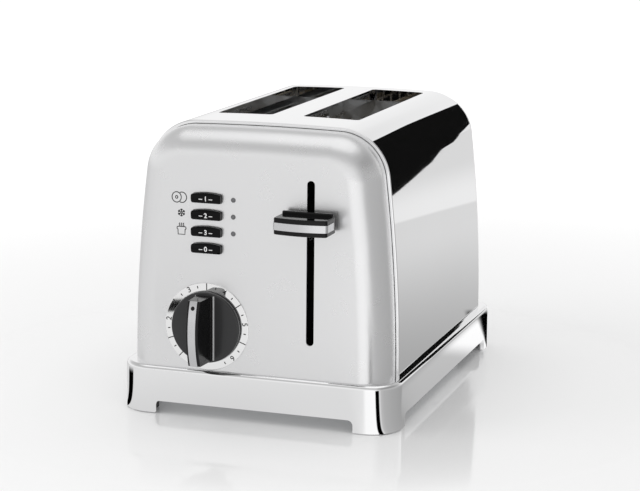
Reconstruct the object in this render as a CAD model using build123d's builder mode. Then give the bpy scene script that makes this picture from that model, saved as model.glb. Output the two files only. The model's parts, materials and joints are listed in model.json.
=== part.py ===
from build123d import *
import os

# Two-slice toaster with a drawn metal body on a chromed skirt. Millimetres, +Z up.
# X runs across the body, the controls face -Y, and the origin lies on the table
# under the middle of the whole outline, control knob included.

# Skirt: the chromed rim that the body stands on, with a foot at each corner
base_width = 185.0
base_length = 260.0
base_corner = 20.0
skirt_top = 31.5
skirt_wall = 2.5
ledge_round = 3.0
ledge_side = 4.5
ledge_end = 3.0
ledge_depth = 11.5
foot_arch = 8.7
foot_span_x = 26.0
foot_span_y = 27.0
arch_corner = 3.5
skirt_lift = 0.8

# Body cross-section, the same from front to rear
body_top = 188.0
side_lean = 12.0
side_bulge = 2.9
crown_drop = 1.8
shoulder_radius = 33.0

# Wrapped shell between the two end cups
sheet = 1.0
hem_depth = 2.0
hem_round = 0.8
slot_width = 37.6
slot_centre = 29.2
slot_front_margin = 36.0
slot_rear_margin = 14.0
slot_corner = 3.0
lip_depth = 6.0

# End cups
cup_depth = 25.0
cup_inset = 2.3
cup_sheet = 1.2
cup_round = 18.0
cup_overlap = 5.0

# Running and seating clearances
running_fit = 0.05
slip_gap = 0.3
panel_gap = 0.2
screw_gap = 0.2
edge_break = 0.6

# Controls on the front
control_x = -31.3
knob_reach = 27.0
knob_radius = 22.8
knob_disc = 4.0
knob_gap = 0.5
dial_radius = 28.2
dial_thickness = 1.0
dial_low_gap = 0.2
dial_gap = 0.4
dial_edge = 0.5
grip_length = 41.5
grip_foot = 14.0
grip_flare = 2.0
grip_crown = 7.4
grip_bow = 4.0
grip_root = 2.0
knob_edge = 1.0
strip_width = 4.9
strip_thickness = 1.0
dot_radius = 1.3
dot_inset = 4.0
shaft_radius = 3.0
shaft_length = 10.5
bush_wall = 1.6
bush_floor = 1.0
rotary_size = 17.0
rotary_depth = 8.0
button_width = 19.8
button_height = 5.5
button_arch = 1.1
button_proud = 2.0
button_crown = 1.0
button_pitch = 10.65
button_top_z = 141.8
button_travel = 1.5
button_flange = 1.2
button_rim = 0.9
button_stem = 2.0
button_fillet = 1.2
lamp_x = -13.9
lamp_radius = 1.5
lamp_proud = 0.6

# Lever and its slot
lever_x = 37.0
lever_z = 131.6
lever_travel_down = 72.5
lever_travel_up = 19.5
lever_slot_width = 5.0
lever_arm_width = 2.4
lever_arm_height = 10.0
lever_end_gap = 1.0
lever_foot = 8.0
handle_width = 34.4
handle_height = 10.4
handle_depth = 16.0
handle_bow = 2.5
handle_corner = 2.0
handle_edge = 0.7
handle_gap = 4.5
handle_lip = 2.0
handle_lip_depth = 2.5
handle_lip_inset = 0.8
handle_lip_corner = 1.0
handle_lip_edge = 0.8
handle_socket = 7.0
band_height = 4.6
band_thickness = 0.8
band_proud = 0.4
band_lip_gap = 1.0
groove_reach = 2.0

# Chassis and toasting chamber
plate_setback = 10.0
plate_thickness = 1.0
plate_foot_width = 8.0
plate_foot_depth = 9.0
floor_low = 12.7
floor_thickness = 2.0
chassis_margin = 8.0
window_width = 4.0
window_low_gap = 8.0
window_high_gap = 3.0
reflector_margin = 14.0
reflector_foot = 6.0
reflector_sheet = 0.8
reflector_low = 36.0
reflector_high = 175.0
mica_thickness = 0.8
mica_outer_reach = 25.8
mica_inner_reach = 24.6
mica_low = 38.0
mica_high = 166.0
mica_end_gap = 3.0
mica_tab = 6.0
ribbon_width = 1.6
ribbon_thickness = 0.3
ribbon_turns = 12
ribbon_margin = 8.0
ribbon_gap = 0.1
guide_reach = 16.8
guide_wire = 1.6
guide_rail = 2.2
guide_wires = 8
guide_end = 8.0
guide_low = 44.0
guide_high = 170.0

# Carriage
rack_rest_z = 112.0
rack_width = 10.0
rack_edge = 4.0
rack_sheet = 1.0
rack_tab_height = 13.0
rack_tab_length = 12.0
rack_tab_reach = 4.0
rack_end_gap = 1.0
rod_x = 6.0
rod_radius = 2.5
rod_setback = 10.0
rod_top = 172.0
rod_bracket_width = 16.0
rod_bracket_rim = 6.0
rod_bracket_drop = 5.0
sleeve_radius = 5.0
sleeve_length = 34.0
sleeve_drop = 10.0
carriage_sheet = 1.5
carriage_gap = 3.0
carriage_height = 22.0
carriage_rest_low = 118.0
carriage_rim = 2.0
armature_height = 2.5
armature_inset = 1.0
magnet_x = 22.0
magnet_width = 18.0
magnet_depth = 12.0
magnet_base = 4.0
magnet_post = 3.0
coil_corner = 2.0
spring_outer = 4.6
spring_inner = 3.0

# Crumb tray and floor vents
tray_half_width = 66.0
tray_sheet = 0.8
tray_rim = 6.0
tray_front_gap = 4.0
tray_lift = 0.8
tray_mouth_height = 12.0
tray_grip_depth = 8.0
tray_mouth_gap = 0.5
recess_width = 60.0
recess_rim = 4.0
recess_wall = 2.5
vent_length = 30.0
vent_width = 4.0
vent_pitch_x = 44.0
vent_pitch_y = 26.0

# Fasteners, feet and electrical pieces
boss_radius = 4.0
boss_low_x = 66.5
boss_low_z = 50.0
boss_high_x = 46.0
boss_high_z = 164.0
screw_radius = 1.5
screw_head_radius = 2.9
screw_head_height = 1.8
screw_depth = 8.0
screw_hole_depth = 10.0
skirt_screw_inset = 2.5
skirt_screw_step = 80.0
foot_pad_radius = 8.0
foot_pad_inset = 14.5
board_thickness = 1.6
board_left = 19.0
board_right = 25.0
board_low = 42.0
board_high = 160.0
board_stand = 12.3
standoff_inset = 4.0
standoff_radius = 2.5
switch_height = 4.3
switch_size = 6.0
plunger_radius = 1.7
plunger_height = 1.4
gland_x = -38.0
gland_z = 50.0
gland_radius = 6.0
gland_bore = 4.0
gland_flange = 9.0
gland_proud = 2.2
gland_tail = 6.0
gland_bead_height = 1.2
gland_bead_length = 1.6
terminal_z = 62.0
terminal_width = 44.0
terminal_height = 16.0
terminal_depth = 16.0
terminal_base = 4.0
terminal_pitch = 13.0
terminal_hole = 3.0

# Places worked out from the sizes above
body_half_width = base_width / 2 - ledge_side
body_half_length = base_length / 2 - ledge_end
shell_half_length = body_half_length - cup_depth
corner_z = body_top - crown_drop
plate_y = shell_half_length - plate_setback
rod_y = plate_y + rod_setback
slot_front = shell_half_length - slot_front_margin
slot_rear = shell_half_length - slot_rear_margin
body_y = (body_half_length + knob_reach - base_length / 2) / 2
panel_y = body_y - body_half_length
panel_inner_y = panel_y + cup_sheet
cup_back_y = body_y - shell_half_length + cup_overlap
rear_y = body_y + body_half_length
front_plate_y = body_y - plate_y
rear_plate_y = body_y + plate_y
floor_top = floor_low + floor_thickness
board_y = panel_inner_y + board_stand
slot_y = body_y + (slot_rear - slot_front) / 2
slot_length = slot_front + slot_rear
window_low = rack_rest_z - lever_travel_down - window_low_gap
window_high = rack_rest_z + lever_travel_up + rack_tab_height + window_high_gap
chassis_half_width = body_half_width - chassis_margin
plate_foot_x = chassis_half_width - plate_foot_width / 2 - plate_thickness
reflector_x = slot_centre + slot_width / 2 + reflector_margin
mica_outer_x = slot_centre + mica_outer_reach
mica_inner_x = slot_centre - mica_inner_reach
guide_outer_x = slot_centre + guide_reach
guide_inner_x = slot_centre - guide_reach
rack_tab_x = slot_centre + (rack_width - rack_sheet) / 2
chamber_half_length = plate_y - plate_thickness
ribbon_pitch = (mica_high - mica_low - 2 * ribbon_margin) / (ribbon_turns - 1)
carriage_left = rack_tab_x + carriage_rim
carriage_right = lever_x + lever_arm_width / 2 + carriage_rim
sleeve_low = carriage_rest_low - sleeve_drop
carriage_back_y = front_plate_y - carriage_gap
carriage_face_y = carriage_back_y - carriage_sheet
magnet_top = carriage_rest_low - armature_height - lever_travel_down - slip_gap
handle_low = lever_z - handle_height / 2
handle_rear_y = panel_y - handle_gap
handle_end_y = handle_rear_y - handle_depth
band_low = lever_z - band_height / 2
band_rear_y = handle_rear_y - handle_lip_depth - band_lip_gap
knob_z = skirt_top + dial_low_gap + dial_radius
knob_face_y = panel_y - knob_gap - knob_disc
knob_tip_y = panel_y - knob_reach
grip_end_y = knob_tip_y + strip_thickness + grip_bow
tray_front = plate_y - tray_front_gap
tray_grip_y = body_y + base_length / 2 - tray_grip_depth
button_zs = [button_top_z - step * button_pitch for step in range(4)]
bosses_low = [(side * boss_low_x, boss_low_z) for side in (-1, 1)]
bosses_high = [(side * boss_high_x, boss_high_z) for side in (-1, 1)]
boss_places = bosses_low + bosses_high
skirt_screw_places = [(side * (body_half_width - skirt_screw_inset), body_y + step)
                      for side in (-1, 1)
                      for step in (-skirt_screw_step, 0, skirt_screw_step)]


def across(y):
    """Plane standing across the body at y, facing the front, with local x and y as X and Z."""
    return Plane(origin=(0, y, 0), x_dir=(1, 0, 0), z_dir=(0, -1, 0))


def along(x):
    """Plane standing along the body at x, facing +X, with local x and y as Y and Z."""
    return Plane(origin=(x, 0, 0), x_dir=(0, 1, 0), z_dir=(1, 0, 0))


# Arcs of the body's section: the right side from skirt to shoulder, and the crown
with BuildLine() as side_line:
    ThreePointArc((body_half_width, skirt_top),
                  (body_half_width - side_lean / 2 + side_bulge, (skirt_top + corner_z) / 2),
                  (body_half_width - side_lean, corner_z))
with BuildLine() as crown_line:
    ThreePointArc((body_half_width - side_lean, corner_z), (0, body_top),
                  (side_lean - body_half_width, corner_z))
side_arc = side_line.edge()
crown_arc = crown_line.edge()


def body_outline(inset, floor=skirt_top):
    """Cross-section of the body, inset from the shell's outside and cut off at floor."""
    with BuildSketch() as outline:
        with Locations((0, floor)):
            Rectangle(3 * body_half_width, 2 * body_top, align=(Align.CENTER, Align.MIN))
        for side in (-1, 1):
            with Locations((side * side_arc.arc_center.X, side_arc.arc_center.Y)):
                Circle(side_arc.radius - inset, mode=Mode.INTERSECT)
        with Locations(crown_arc.arc_center):
            Circle(crown_arc.radius - inset, mode=Mode.INTERSECT)
        fillet(outline.vertices().sort_by(Axis.Y)[-2:], shoulder_radius - inset)
    return outline.sketch


def cup_form(inset, face_y, edge_round, floor):
    """Solid form of an end cup: the body's section with its front edge rounded over."""
    with BuildPart() as form:
        with BuildSketch(across(cup_back_y)):
            add(body_outline(inset, floor))
        extrude(amount=cup_back_y - face_y)
        face = form.faces().sort_by(Axis.Y)[0]
        fillet(face.edges().sort_by(Axis.Z)[1:], edge_round)
    return form.part


def end_cup():
    """Drawn cup, open behind and below, with screw bosses that reach the chassis plate."""
    with BuildPart() as cup:
        add(cup_form(cup_inset, panel_y, cup_round, skirt_top))
        add(cup_form(cup_inset + cup_sheet, panel_inner_y, cup_round - cup_sheet,
                     skirt_top - cup_round), mode=Mode.SUBTRACT)
        with BuildSketch(across(front_plate_y)):
            with Locations(*boss_places):
                Circle(boss_radius)
        extrude(amount=front_plate_y - panel_inner_y + cup_sheet / 2)
        with BuildSketch(across(front_plate_y)):
            with Locations(*boss_places):
                Circle(screw_radius)
        extrude(amount=screw_hole_depth, mode=Mode.SUBTRACT)
    return cup.part


def plate_blank():
    """Outline of a chassis plate: the body's section on a narrower lower part."""
    with BuildSketch() as blank:
        add(body_outline(sheet + panel_gap, skirt_top + slip_gap))
        with Locations((0, floor_top)):
            Rectangle(2 * chassis_half_width, skirt_top + slip_gap - floor_top,
                      align=(Align.CENTER, Align.MIN))
        with Locations((-rack_tab_x, window_low), (rack_tab_x, window_low)):
            Rectangle(window_width, window_high - window_low,
                      align=(Align.CENTER, Align.MIN), mode=Mode.SUBTRACT)
        with Locations(*boss_places):
            Circle(screw_radius + screw_gap, mode=Mode.SUBTRACT)
    return blank.sketch


def button_outline(z, grow):
    """Face of the button at height z, arched along its top, grown outwards by grow."""
    half = button_width / 2
    with BuildSketch() as face:
        with BuildLine():
            Polyline((control_x - half, z + button_height / 2),
                     (control_x - half, z - button_height / 2),
                     (control_x + half, z - button_height / 2),
                     (control_x + half, z + button_height / 2))
            ThreePointArc((control_x + half, z + button_height / 2),
                          (control_x, z + button_height / 2 + button_arch),
                          (control_x - half, z + button_height / 2))
        make_face()
        fillet(face.vertices(), button_fillet)
        if grow > 0:
            offset(amount=grow)
    return face.sketch


# Chromed skirt: a rim with a rounded ledge, arched between its four feet
with BuildPart() as base_skirt:
    with BuildSketch(Plane.XY.offset(skirt_lift)):
        with Locations((0, body_y)):
            RectangleRounded(base_width, base_length, base_corner)
    extrude(amount=skirt_top - skirt_lift)
    fillet(base_skirt.faces().sort_by(Axis.Z)[-1].edges(), ledge_round)
    with BuildSketch(Plane.XY.offset(skirt_lift)):
        with Locations((0, body_y)):
            RectangleRounded(base_width - 2 * skirt_wall, base_length - 2 * skirt_wall,
                             base_corner - skirt_wall)
    extrude(amount=skirt_top - skirt_wall - skirt_lift, mode=Mode.SUBTRACT)
    with BuildSketch(Plane.XY.offset(skirt_lift)):
        with Locations((0, body_y)):
            RectangleRounded(base_width - 2 * ledge_depth, base_length - 2 * ledge_depth,
                             base_corner - ledge_depth)
    extrude(amount=skirt_top, mode=Mode.SUBTRACT)
    with BuildSketch(Plane.XY.offset(skirt_top - skirt_wall)):
        with Locations(*skirt_screw_places):
            Circle(boss_radius)
    extrude(amount=-(skirt_top - skirt_wall - floor_top))
    with BuildSketch(Plane.XY.offset(floor_top)):
        with Locations(*skirt_screw_places):
            Circle(screw_radius)
    extrude(amount=screw_hole_depth, mode=Mode.SUBTRACT)
    with BuildSketch(across(body_y - base_length / 2)) as front_arch:
        with Locations((0, foot_arch)):
            Rectangle(base_width - 2 * foot_span_x, 2 * foot_arch,
                      align=(Align.CENTER, Align.MAX))
        fillet(front_arch.vertices().group_by(Axis.Y)[-1], arch_corner)
    extrude(amount=-base_length, mode=Mode.SUBTRACT)
    with BuildSketch(along(-base_width / 2)) as side_arch:
        with Locations((body_y, foot_arch)):
            Rectangle(base_length - 2 * foot_span_y, 2 * foot_arch,
                      align=(Align.CENTER, Align.MAX))
        fillet(side_arch.vertices().group_by(Axis.Y)[-1], arch_corner)
    extrude(amount=base_width, mode=Mode.SUBTRACT)
    with BuildSketch(across(body_y + base_length / 2)):
        with Locations((0, floor_top)):
            Rectangle(2 * (tray_half_width + sheet + tray_mouth_gap), tray_mouth_height,
                      align=(Align.CENTER, Align.MIN))
    extrude(amount=2 * skirt_wall, mode=Mode.SUBTRACT)

# Wrapped shell: one sheet over both sides and the crown, hemmed inwards at its two ends,
# with the bread slots drawn down into short lips
with BuildPart() as shell_space:
    with BuildSketch(across(body_y - shell_half_length + hem_depth)):
        add(body_outline(sheet, skirt_top - cup_round))
    extrude(amount=-2 * (shell_half_length - hem_depth))
    with BuildSketch(across(body_y - shell_half_length)):
        add(body_outline(hem_depth, skirt_top - cup_round))
    extrude(amount=-2 * shell_half_length)
    with BuildSketch(Plane.XY.offset(corner_z - lip_depth)):
        with Locations((-slot_centre, slot_y), (slot_centre, slot_y)):
            RectangleRounded(slot_width + 2 * sheet, slot_length + 2 * sheet,
                             slot_corner + sheet)
    extrude(amount=3 * lip_depth, mode=Mode.SUBTRACT)

with BuildPart() as outer_shell:
    with BuildSketch(across(body_y - shell_half_length)):
        add(body_outline(0))
    extrude(amount=-2 * shell_half_length)
    shell_ends = outer_shell.faces().filter_by(Axis.Y)
    hem_edges = [edge for end in shell_ends for edge in end.edges().sort_by(Axis.Z)[1:]]
    fillet(hem_edges, hem_round)
    add(shell_space.part, mode=Mode.SUBTRACT)
    with BuildSketch(Plane.XY.offset(body_top - 3 * lip_depth)):
        with Locations((-slot_centre, slot_y), (slot_centre, slot_y)):
            RectangleRounded(slot_width, slot_length, slot_corner)
    extrude(amount=6 * lip_depth, mode=Mode.SUBTRACT)

# Front cup with the lever slot, button holes, lamp holes and the knob's bush hole
with BuildPart() as front_panel:
    add(end_cup())
    with BuildSketch(across(panel_inner_y - cup_sheet / 2)):
        with Locations((control_x + (board_right - board_left) / 2,
                        (board_low + board_high) / 2)):
            with GridLocations(board_left + board_right - 2 * standoff_inset,
                               board_high - board_low - 2 * standoff_inset, 2, 2):
                Circle(standoff_radius)
    extrude(amount=-(board_stand + cup_sheet / 2))
    slot_low = lever_z - lever_travel_down - lever_arm_height / 2 - lever_end_gap
    slot_high = lever_z + lever_travel_up + lever_arm_height / 2 + lever_end_gap
    with BuildSketch(across(panel_inner_y)):
        with Locations((lever_x, (slot_low + slot_high) / 2)):
            SlotOverall(slot_high - slot_low, lever_slot_width, rotation=90)
        for button_z in button_zs:
            add(button_outline(button_z, panel_gap))
        with Locations(*[(lamp_x, z) for z in button_zs[:3]]):
            Circle(lamp_radius + panel_gap / 2)
        with Locations((control_x, knob_z)):
            Circle(shaft_radius + bush_wall + 2 * panel_gap)
    extrude(amount=2 * cup_sheet, mode=Mode.SUBTRACT)

# Rear cup with the round hole for the lead's gland
with BuildPart() as rear_panel:
    mirror(end_cup(), about=Plane.XZ.offset(-body_y))
    with BuildSketch(across(rear_y - 2 * cup_sheet)):
        with Locations((gland_x, gland_z)):
            Circle(gland_radius + panel_gap)
    extrude(amount=-3 * cup_sheet, mode=Mode.SUBTRACT)

# Gland: a flanged bush pressed in from outside, with a bead inside the wall
with BuildPart() as cord_gland:
    with BuildSketch(across(rear_y + gland_proud)):
        with Locations((gland_x, gland_z)):
            Circle(gland_flange)
    extrude(amount=gland_proud)
    fillet(cord_gland.faces().sort_by(Axis.Y)[-1].edges(), gland_proud / 2)
    with BuildSketch(across(rear_y)):
        with Locations((gland_x, gland_z)):
            Circle(gland_radius)
    extrude(amount=cup_sheet + gland_tail)
    with BuildSketch(across(rear_y - cup_sheet - panel_gap)):
        with Locations((gland_x, gland_z)):
            Circle(gland_radius + gland_bead_height)
    extrude(amount=gland_bead_length)
    with BuildSketch(across(rear_y + gland_proud)):
        with Locations((gland_x, gland_z)):
            Circle(gland_bore)
    extrude(amount=4 * gland_flange, mode=Mode.SUBTRACT)

# Floor pan with vent slots and a pair of rails that guide the tray
with BuildPart() as floor_pan:
    with BuildSketch(Plane.XY.offset(floor_low)):
        with Locations((0, body_y)):
            RectangleRounded(base_width - 2 * (skirt_wall + slip_gap),
                             base_length - 2 * (skirt_wall + slip_gap),
                             base_corner - skirt_wall - slip_gap)
        with Locations(*skirt_screw_places):
            Circle(screw_radius + screw_gap, mode=Mode.SUBTRACT)
        with Locations((0, body_y)):
            with GridLocations(vent_pitch_x, vent_pitch_y, 3, 5):
                SlotOverall(vent_length, vent_width, mode=Mode.SUBTRACT)
    extrude(amount=floor_thickness)
    with BuildSketch(Plane.XY.offset(floor_top)):
        for side in (-1, 1):
            with Locations((side * (tray_half_width + slip_gap + sheet / 2), body_y)):
                Rectangle(sheet, 2 * (plate_y - plate_thickness - slip_gap))
    extrude(amount=tray_rim)

# Four soft feet in the corners of the skirt
with BuildPart() as rubber_feet:
    with BuildSketch(Plane.XY):
        with Locations((0, body_y)):
            with GridLocations(base_width - 2 * foot_pad_inset,
                               base_length - 2 * foot_pad_inset, 2, 2):
                Circle(foot_pad_radius)
    extrude(amount=floor_low)
    chamfer(rubber_feet.faces().group_by(Axis.Z)[0].edges(), edge_break)

# Screws that hold the floor pan to the skirt
with BuildPart() as floor_screws:
    with BuildSketch(Plane.XY.offset(floor_low)):
        with Locations(*skirt_screw_places):
            Circle(screw_head_radius)
    extrude(amount=-screw_head_height)
    chamfer(floor_screws.faces().group_by(Axis.Z)[0].edges(), edge_break)
    with BuildSketch(Plane.XY.offset(floor_low)):
        with Locations(*skirt_screw_places):
            Circle(screw_radius - running_fit)
    extrude(amount=floor_thickness + screw_depth)

# Chassis plates that close the two ends of the toasting chamber
with BuildPart() as front_chassis_plate:
    with BuildSketch(across(front_plate_y + plate_thickness)):
        add(plate_blank())
    extrude(amount=plate_thickness)
    with BuildSketch(Plane.XY.offset(rod_top - rod_bracket_drop)):
        with Locations((rod_x, front_plate_y)):
            Rectangle(rod_bracket_width, rod_setback + rod_bracket_rim,
                      align=(Align.CENTER, Align.MAX))
        with Locations((rod_x, body_y - rod_y)):
            Circle(rod_radius + running_fit, mode=Mode.SUBTRACT)
    extrude(amount=1.5 * plate_thickness)
    with BuildSketch(Plane.XY.offset(floor_top)):
        with Locations((-plate_foot_x, front_plate_y), (plate_foot_x, front_plate_y)):
            Rectangle(plate_foot_width, plate_foot_depth, align=(Align.CENTER, Align.MAX))
    extrude(amount=plate_thickness)

with BuildPart() as rear_chassis_plate:
    with BuildSketch(across(rear_plate_y)):
        add(plate_blank())
        with Locations((0, floor_top)):
            Rectangle(2 * (tray_half_width + sheet), tray_mouth_height,
                      align=(Align.CENTER, Align.MIN), mode=Mode.SUBTRACT)
    extrude(amount=plate_thickness)
    with BuildSketch(Plane.XY.offset(floor_top)):
        with Locations((-plate_foot_x, rear_plate_y), (plate_foot_x, rear_plate_y)):
            Rectangle(plate_foot_width, plate_foot_depth, align=(Align.CENTER, Align.MIN))
    extrude(amount=plate_thickness)

# Screws through the chassis plates into the cups' bosses
with BuildPart() as front_panel_screws:
    with BuildSketch(across(front_plate_y + plate_thickness)):
        with Locations(*boss_places):
            Circle(screw_head_radius)
    extrude(amount=-screw_head_height)
    chamfer(front_panel_screws.faces().group_by(Axis.Y)[-1].edges(), edge_break)
    with BuildSketch(across(front_plate_y + plate_thickness)):
        with Locations(*boss_places):
            Circle(screw_radius - running_fit)
    extrude(amount=plate_thickness + screw_depth)

with BuildPart() as rear_panel_screws:
    mirror(front_panel_screws.part, about=Plane.XZ.offset(-body_y))

# Side reflectors: bent sheets with a flange towards the slot lips at the top
def reflector_profile():
    """Section of the right reflector, drawn in X and Z."""
    with BuildSketch() as section:
        with Locations((reflector_x, reflector_low)):
            Rectangle(reflector_sheet, reflector_high - reflector_low,
                      align=(Align.MIN, Align.MIN))
        with Locations((reflector_x + reflector_sheet, reflector_high)):
            Rectangle(reflector_margin + reflector_sheet - 2 * sheet, reflector_sheet,
                      align=(Align.MAX, Align.MAX))
        with Locations((reflector_x, reflector_low)):
            Rectangle(reflector_foot, reflector_sheet, align=(Align.MAX, Align.MIN))
            Rectangle(reflector_sheet, reflector_sheet, align=(Align.MIN, Align.MIN))
    return section.sketch


with BuildPart() as right_reflector:
    with BuildSketch(across(body_y + chamber_half_length)):
        add(reflector_profile())
    extrude(amount=2 * chamber_half_length)

with BuildPart() as left_reflector:
    mirror(right_reflector.part, about=Plane.YZ)


def turn_z(turn):
    """Height of a ribbon turn, counted upwards from 0."""
    return mica_low + ribbon_margin + turn * ribbon_pitch


def mica_board(x):
    """Element board at x with end tabs that seat against both chassis plates."""
    with BuildPart() as board:
        with BuildSketch(along(x)):
            with Locations((body_y, (mica_low + mica_high) / 2)):
                Rectangle(2 * (chamber_half_length - mica_end_gap), mica_high - mica_low)
            with Locations(*[(body_y, turn_z(turn)) for turn in (1.5, ribbon_turns - 2.5)]):
                Rectangle(2 * chamber_half_length, mica_tab)
        extrude(amount=mica_thickness)
    return board.part


def winding(x):
    """Flat ribbon turns round the board at x, each held just off the mica."""
    outer_length = 2 * (chamber_half_length - mica_end_gap + ribbon_gap + ribbon_thickness)
    outer_depth = mica_thickness + 2 * (ribbon_gap + ribbon_thickness)
    with BuildPart() as turns:
        for turn in range(ribbon_turns):
            with BuildSketch(Plane.XY.offset(turn_z(turn) - ribbon_width / 2)):
                with Locations((x + mica_thickness / 2, body_y)):
                    Rectangle(outer_depth, outer_length)
                    Rectangle(outer_depth - 2 * ribbon_thickness,
                              outer_length - 2 * ribbon_thickness, mode=Mode.SUBTRACT)
            extrude(amount=ribbon_width)
    return turns.part


with BuildPart() as left_outer_mica:
    add(mica_board(-mica_outer_x - mica_thickness))

with BuildPart() as left_inner_mica:
    add(mica_board(-mica_inner_x - mica_thickness))

with BuildPart() as right_inner_mica:
    add(mica_board(mica_inner_x))

with BuildPart() as right_outer_mica:
    add(mica_board(mica_outer_x))

with BuildPart() as left_outer_winding:
    add(winding(-mica_outer_x - mica_thickness))

with BuildPart() as left_inner_winding:
    add(winding(-mica_inner_x - mica_thickness))

with BuildPart() as right_inner_winding:
    add(winding(mica_inner_x))

with BuildPart() as right_outer_winding:
    add(winding(mica_outer_x))


def bread_guide(x):
    """Wire guide at x: two rails joined by upright wires."""
    rail_length = 2 * (chamber_half_length - slip_gap)
    pitch = (rail_length - 2 * guide_end) / (guide_wires - 1)
    with BuildPart() as guide:
        with BuildSketch(across(body_y + rail_length / 2)):
            with Locations((x, guide_low), (x, guide_high)):
                Rectangle(guide_rail, guide_rail)
        extrude(amount=rail_length)
        with BuildSketch(Plane.XY.offset(guide_low)):
            with Locations((x, body_y)):
                with GridLocations(1.0, pitch, 1, guide_wires):
                    Circle(guide_wire / 2)
        extrude(amount=guide_high - guide_low)
    return guide.part


with BuildPart() as left_outer_guide:
    add(bread_guide(-guide_outer_x))

with BuildPart() as left_inner_guide:
    add(bread_guide(-guide_inner_x))

with BuildPart() as right_inner_guide:
    add(bread_guide(guide_inner_x))

with BuildPart() as right_outer_guide:
    add(bread_guide(guide_outer_x))

# Upright rod that the carriage slides on, standing on the floor pan
with BuildPart() as guide_rod:
    with BuildSketch(Plane.XY.offset(floor_top)):
        with Locations((rod_x, body_y - rod_y)):
            Circle(rod_radius)
    extrude(amount=rod_top - floor_top)
    chamfer(guide_rod.faces().sort_by(Axis.Z)[-1].edges(), edge_break)

# Return spring round the rod, drawn as its plain outer form
with BuildPart() as lift_spring:
    with BuildSketch(Plane.XY.offset(floor_top)):
        with Locations((rod_x, body_y - rod_y)):
            Circle(spring_outer)
            Circle(spring_inner, mode=Mode.SUBTRACT)
    extrude(amount=sleeve_low - slip_gap - floor_top)

# Carriage: a bent bracket with a sleeve on the rod and a shelf for the armature
with BuildPart() as carriage_bracket:
    with BuildSketch(across(carriage_back_y)):
        with Locations(((carriage_right - carriage_left) / 2, carriage_rest_low)):
            Rectangle(carriage_right + carriage_left, carriage_height,
                      align=(Align.CENTER, Align.MIN))
    extrude(amount=carriage_sheet)
    with BuildSketch(Plane.XY.offset(carriage_rest_low)):
        with Locations((magnet_x, carriage_back_y)):
            Rectangle(magnet_width - 2 * armature_inset,
                      rod_setback - carriage_gap + magnet_depth / 2,
                      align=(Align.CENTER, Align.MAX))
    extrude(amount=carriage_sheet)
    with BuildSketch(Plane.XY.offset(sleeve_low)):
        with Locations((rod_x, body_y - rod_y)):
            Circle(sleeve_radius)
    extrude(amount=sleeve_length)
    with BuildSketch(Plane.XY.offset(carriage_rest_low)):
        with Locations((rod_x, carriage_back_y)):
            Rectangle(sleeve_radius, rod_setback - carriage_gap,
                      align=(Align.CENTER, Align.MAX))
    extrude(amount=carriage_height)
    with BuildSketch(Plane.XY.offset(sleeve_low)):
        with Locations((rod_x, body_y - rod_y)):
            Circle(rod_radius + running_fit)
    extrude(amount=sleeve_length, mode=Mode.SUBTRACT)

# Armature plate under the shelf, held by the magnet when the lever is down
with BuildPart() as armature:
    with BuildSketch(Plane.XY.offset(carriage_rest_low - armature_height)):
        with Locations((magnet_x, body_y - rod_y)):
            Rectangle(magnet_width - 2 * armature_inset, magnet_depth - 2 * armature_inset)
    extrude(amount=armature_height)

# Holding magnet: a core with three posts and a coil round the middle one
with BuildPart() as holding_magnet:
    with BuildSketch(Plane.XY.offset(floor_top)):
        with Locations((magnet_x, body_y - rod_y)):
            Rectangle(magnet_width, magnet_depth)
    extrude(amount=magnet_base)
    with BuildSketch(Plane.XY.offset(floor_top)):
        with Locations((magnet_x, body_y - rod_y)):
            with GridLocations((magnet_width - magnet_post) / 2, 1.0, 3, 1):
                Rectangle(magnet_post, magnet_depth - 2 * armature_inset)
    extrude(amount=magnet_top - floor_top)
    with BuildSketch(Plane.XY.offset(floor_top + magnet_base)):
        with Locations((magnet_x, body_y - rod_y)):
            RectangleRounded(magnet_width / 2, magnet_depth, coil_corner)
    extrude(amount=magnet_top - floor_top - 2 * magnet_base)


def bread_rack(x, tab_x):
    """Channel that lifts one slice, with an upright tab at each end through its window."""
    rack_half_length = chamber_half_length - rack_end_gap
    with BuildPart() as rack:
        with BuildSketch(across(body_y + rack_half_length)):
            with Locations((x, rack_rest_z)):
                Rectangle(rack_width, rack_edge, align=(Align.CENTER, Align.MIN))
            with Locations((x, rack_rest_z + rack_sheet)):
                Rectangle(rack_width - 2 * rack_sheet, rack_edge,
                          align=(Align.CENTER, Align.MIN), mode=Mode.SUBTRACT)
        extrude(amount=2 * rack_half_length)
        with BuildSketch(along(tab_x - rack_sheet / 2)):
            with Locations((carriage_back_y, rack_rest_z)):
                Rectangle(rack_tab_length, rack_tab_height, align=(Align.MIN, Align.MIN))
            with Locations((rear_plate_y + rack_tab_reach, rack_rest_z)):
                Rectangle(rack_tab_length, rack_tab_height, align=(Align.MAX, Align.MIN))
        extrude(amount=rack_sheet)
    return rack.part


with BuildPart() as left_bread_rack:
    add(bread_rack(-slot_centre, -rack_tab_x))

with BuildPart() as right_bread_rack:
    add(bread_rack(slot_centre, rack_tab_x))

# Lever arm: a strip on edge from the carriage through the panel slot
with BuildPart() as lever_arm:
    with BuildSketch(along(lever_x - lever_arm_width / 2)):
        with Locations((carriage_face_y, lever_z)):
            Rectangle(carriage_face_y - handle_rear_y + handle_socket,
                      lever_arm_height, align=(Align.MAX, Align.CENTER))
    extrude(amount=lever_arm_width)
    with BuildSketch(across(carriage_face_y)):
        with Locations((lever_x + lever_arm_width / 2, lever_z)):
            Rectangle(lever_foot, lever_arm_height, align=(Align.MAX, Align.CENTER))
    extrude(amount=carriage_sheet)


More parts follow.
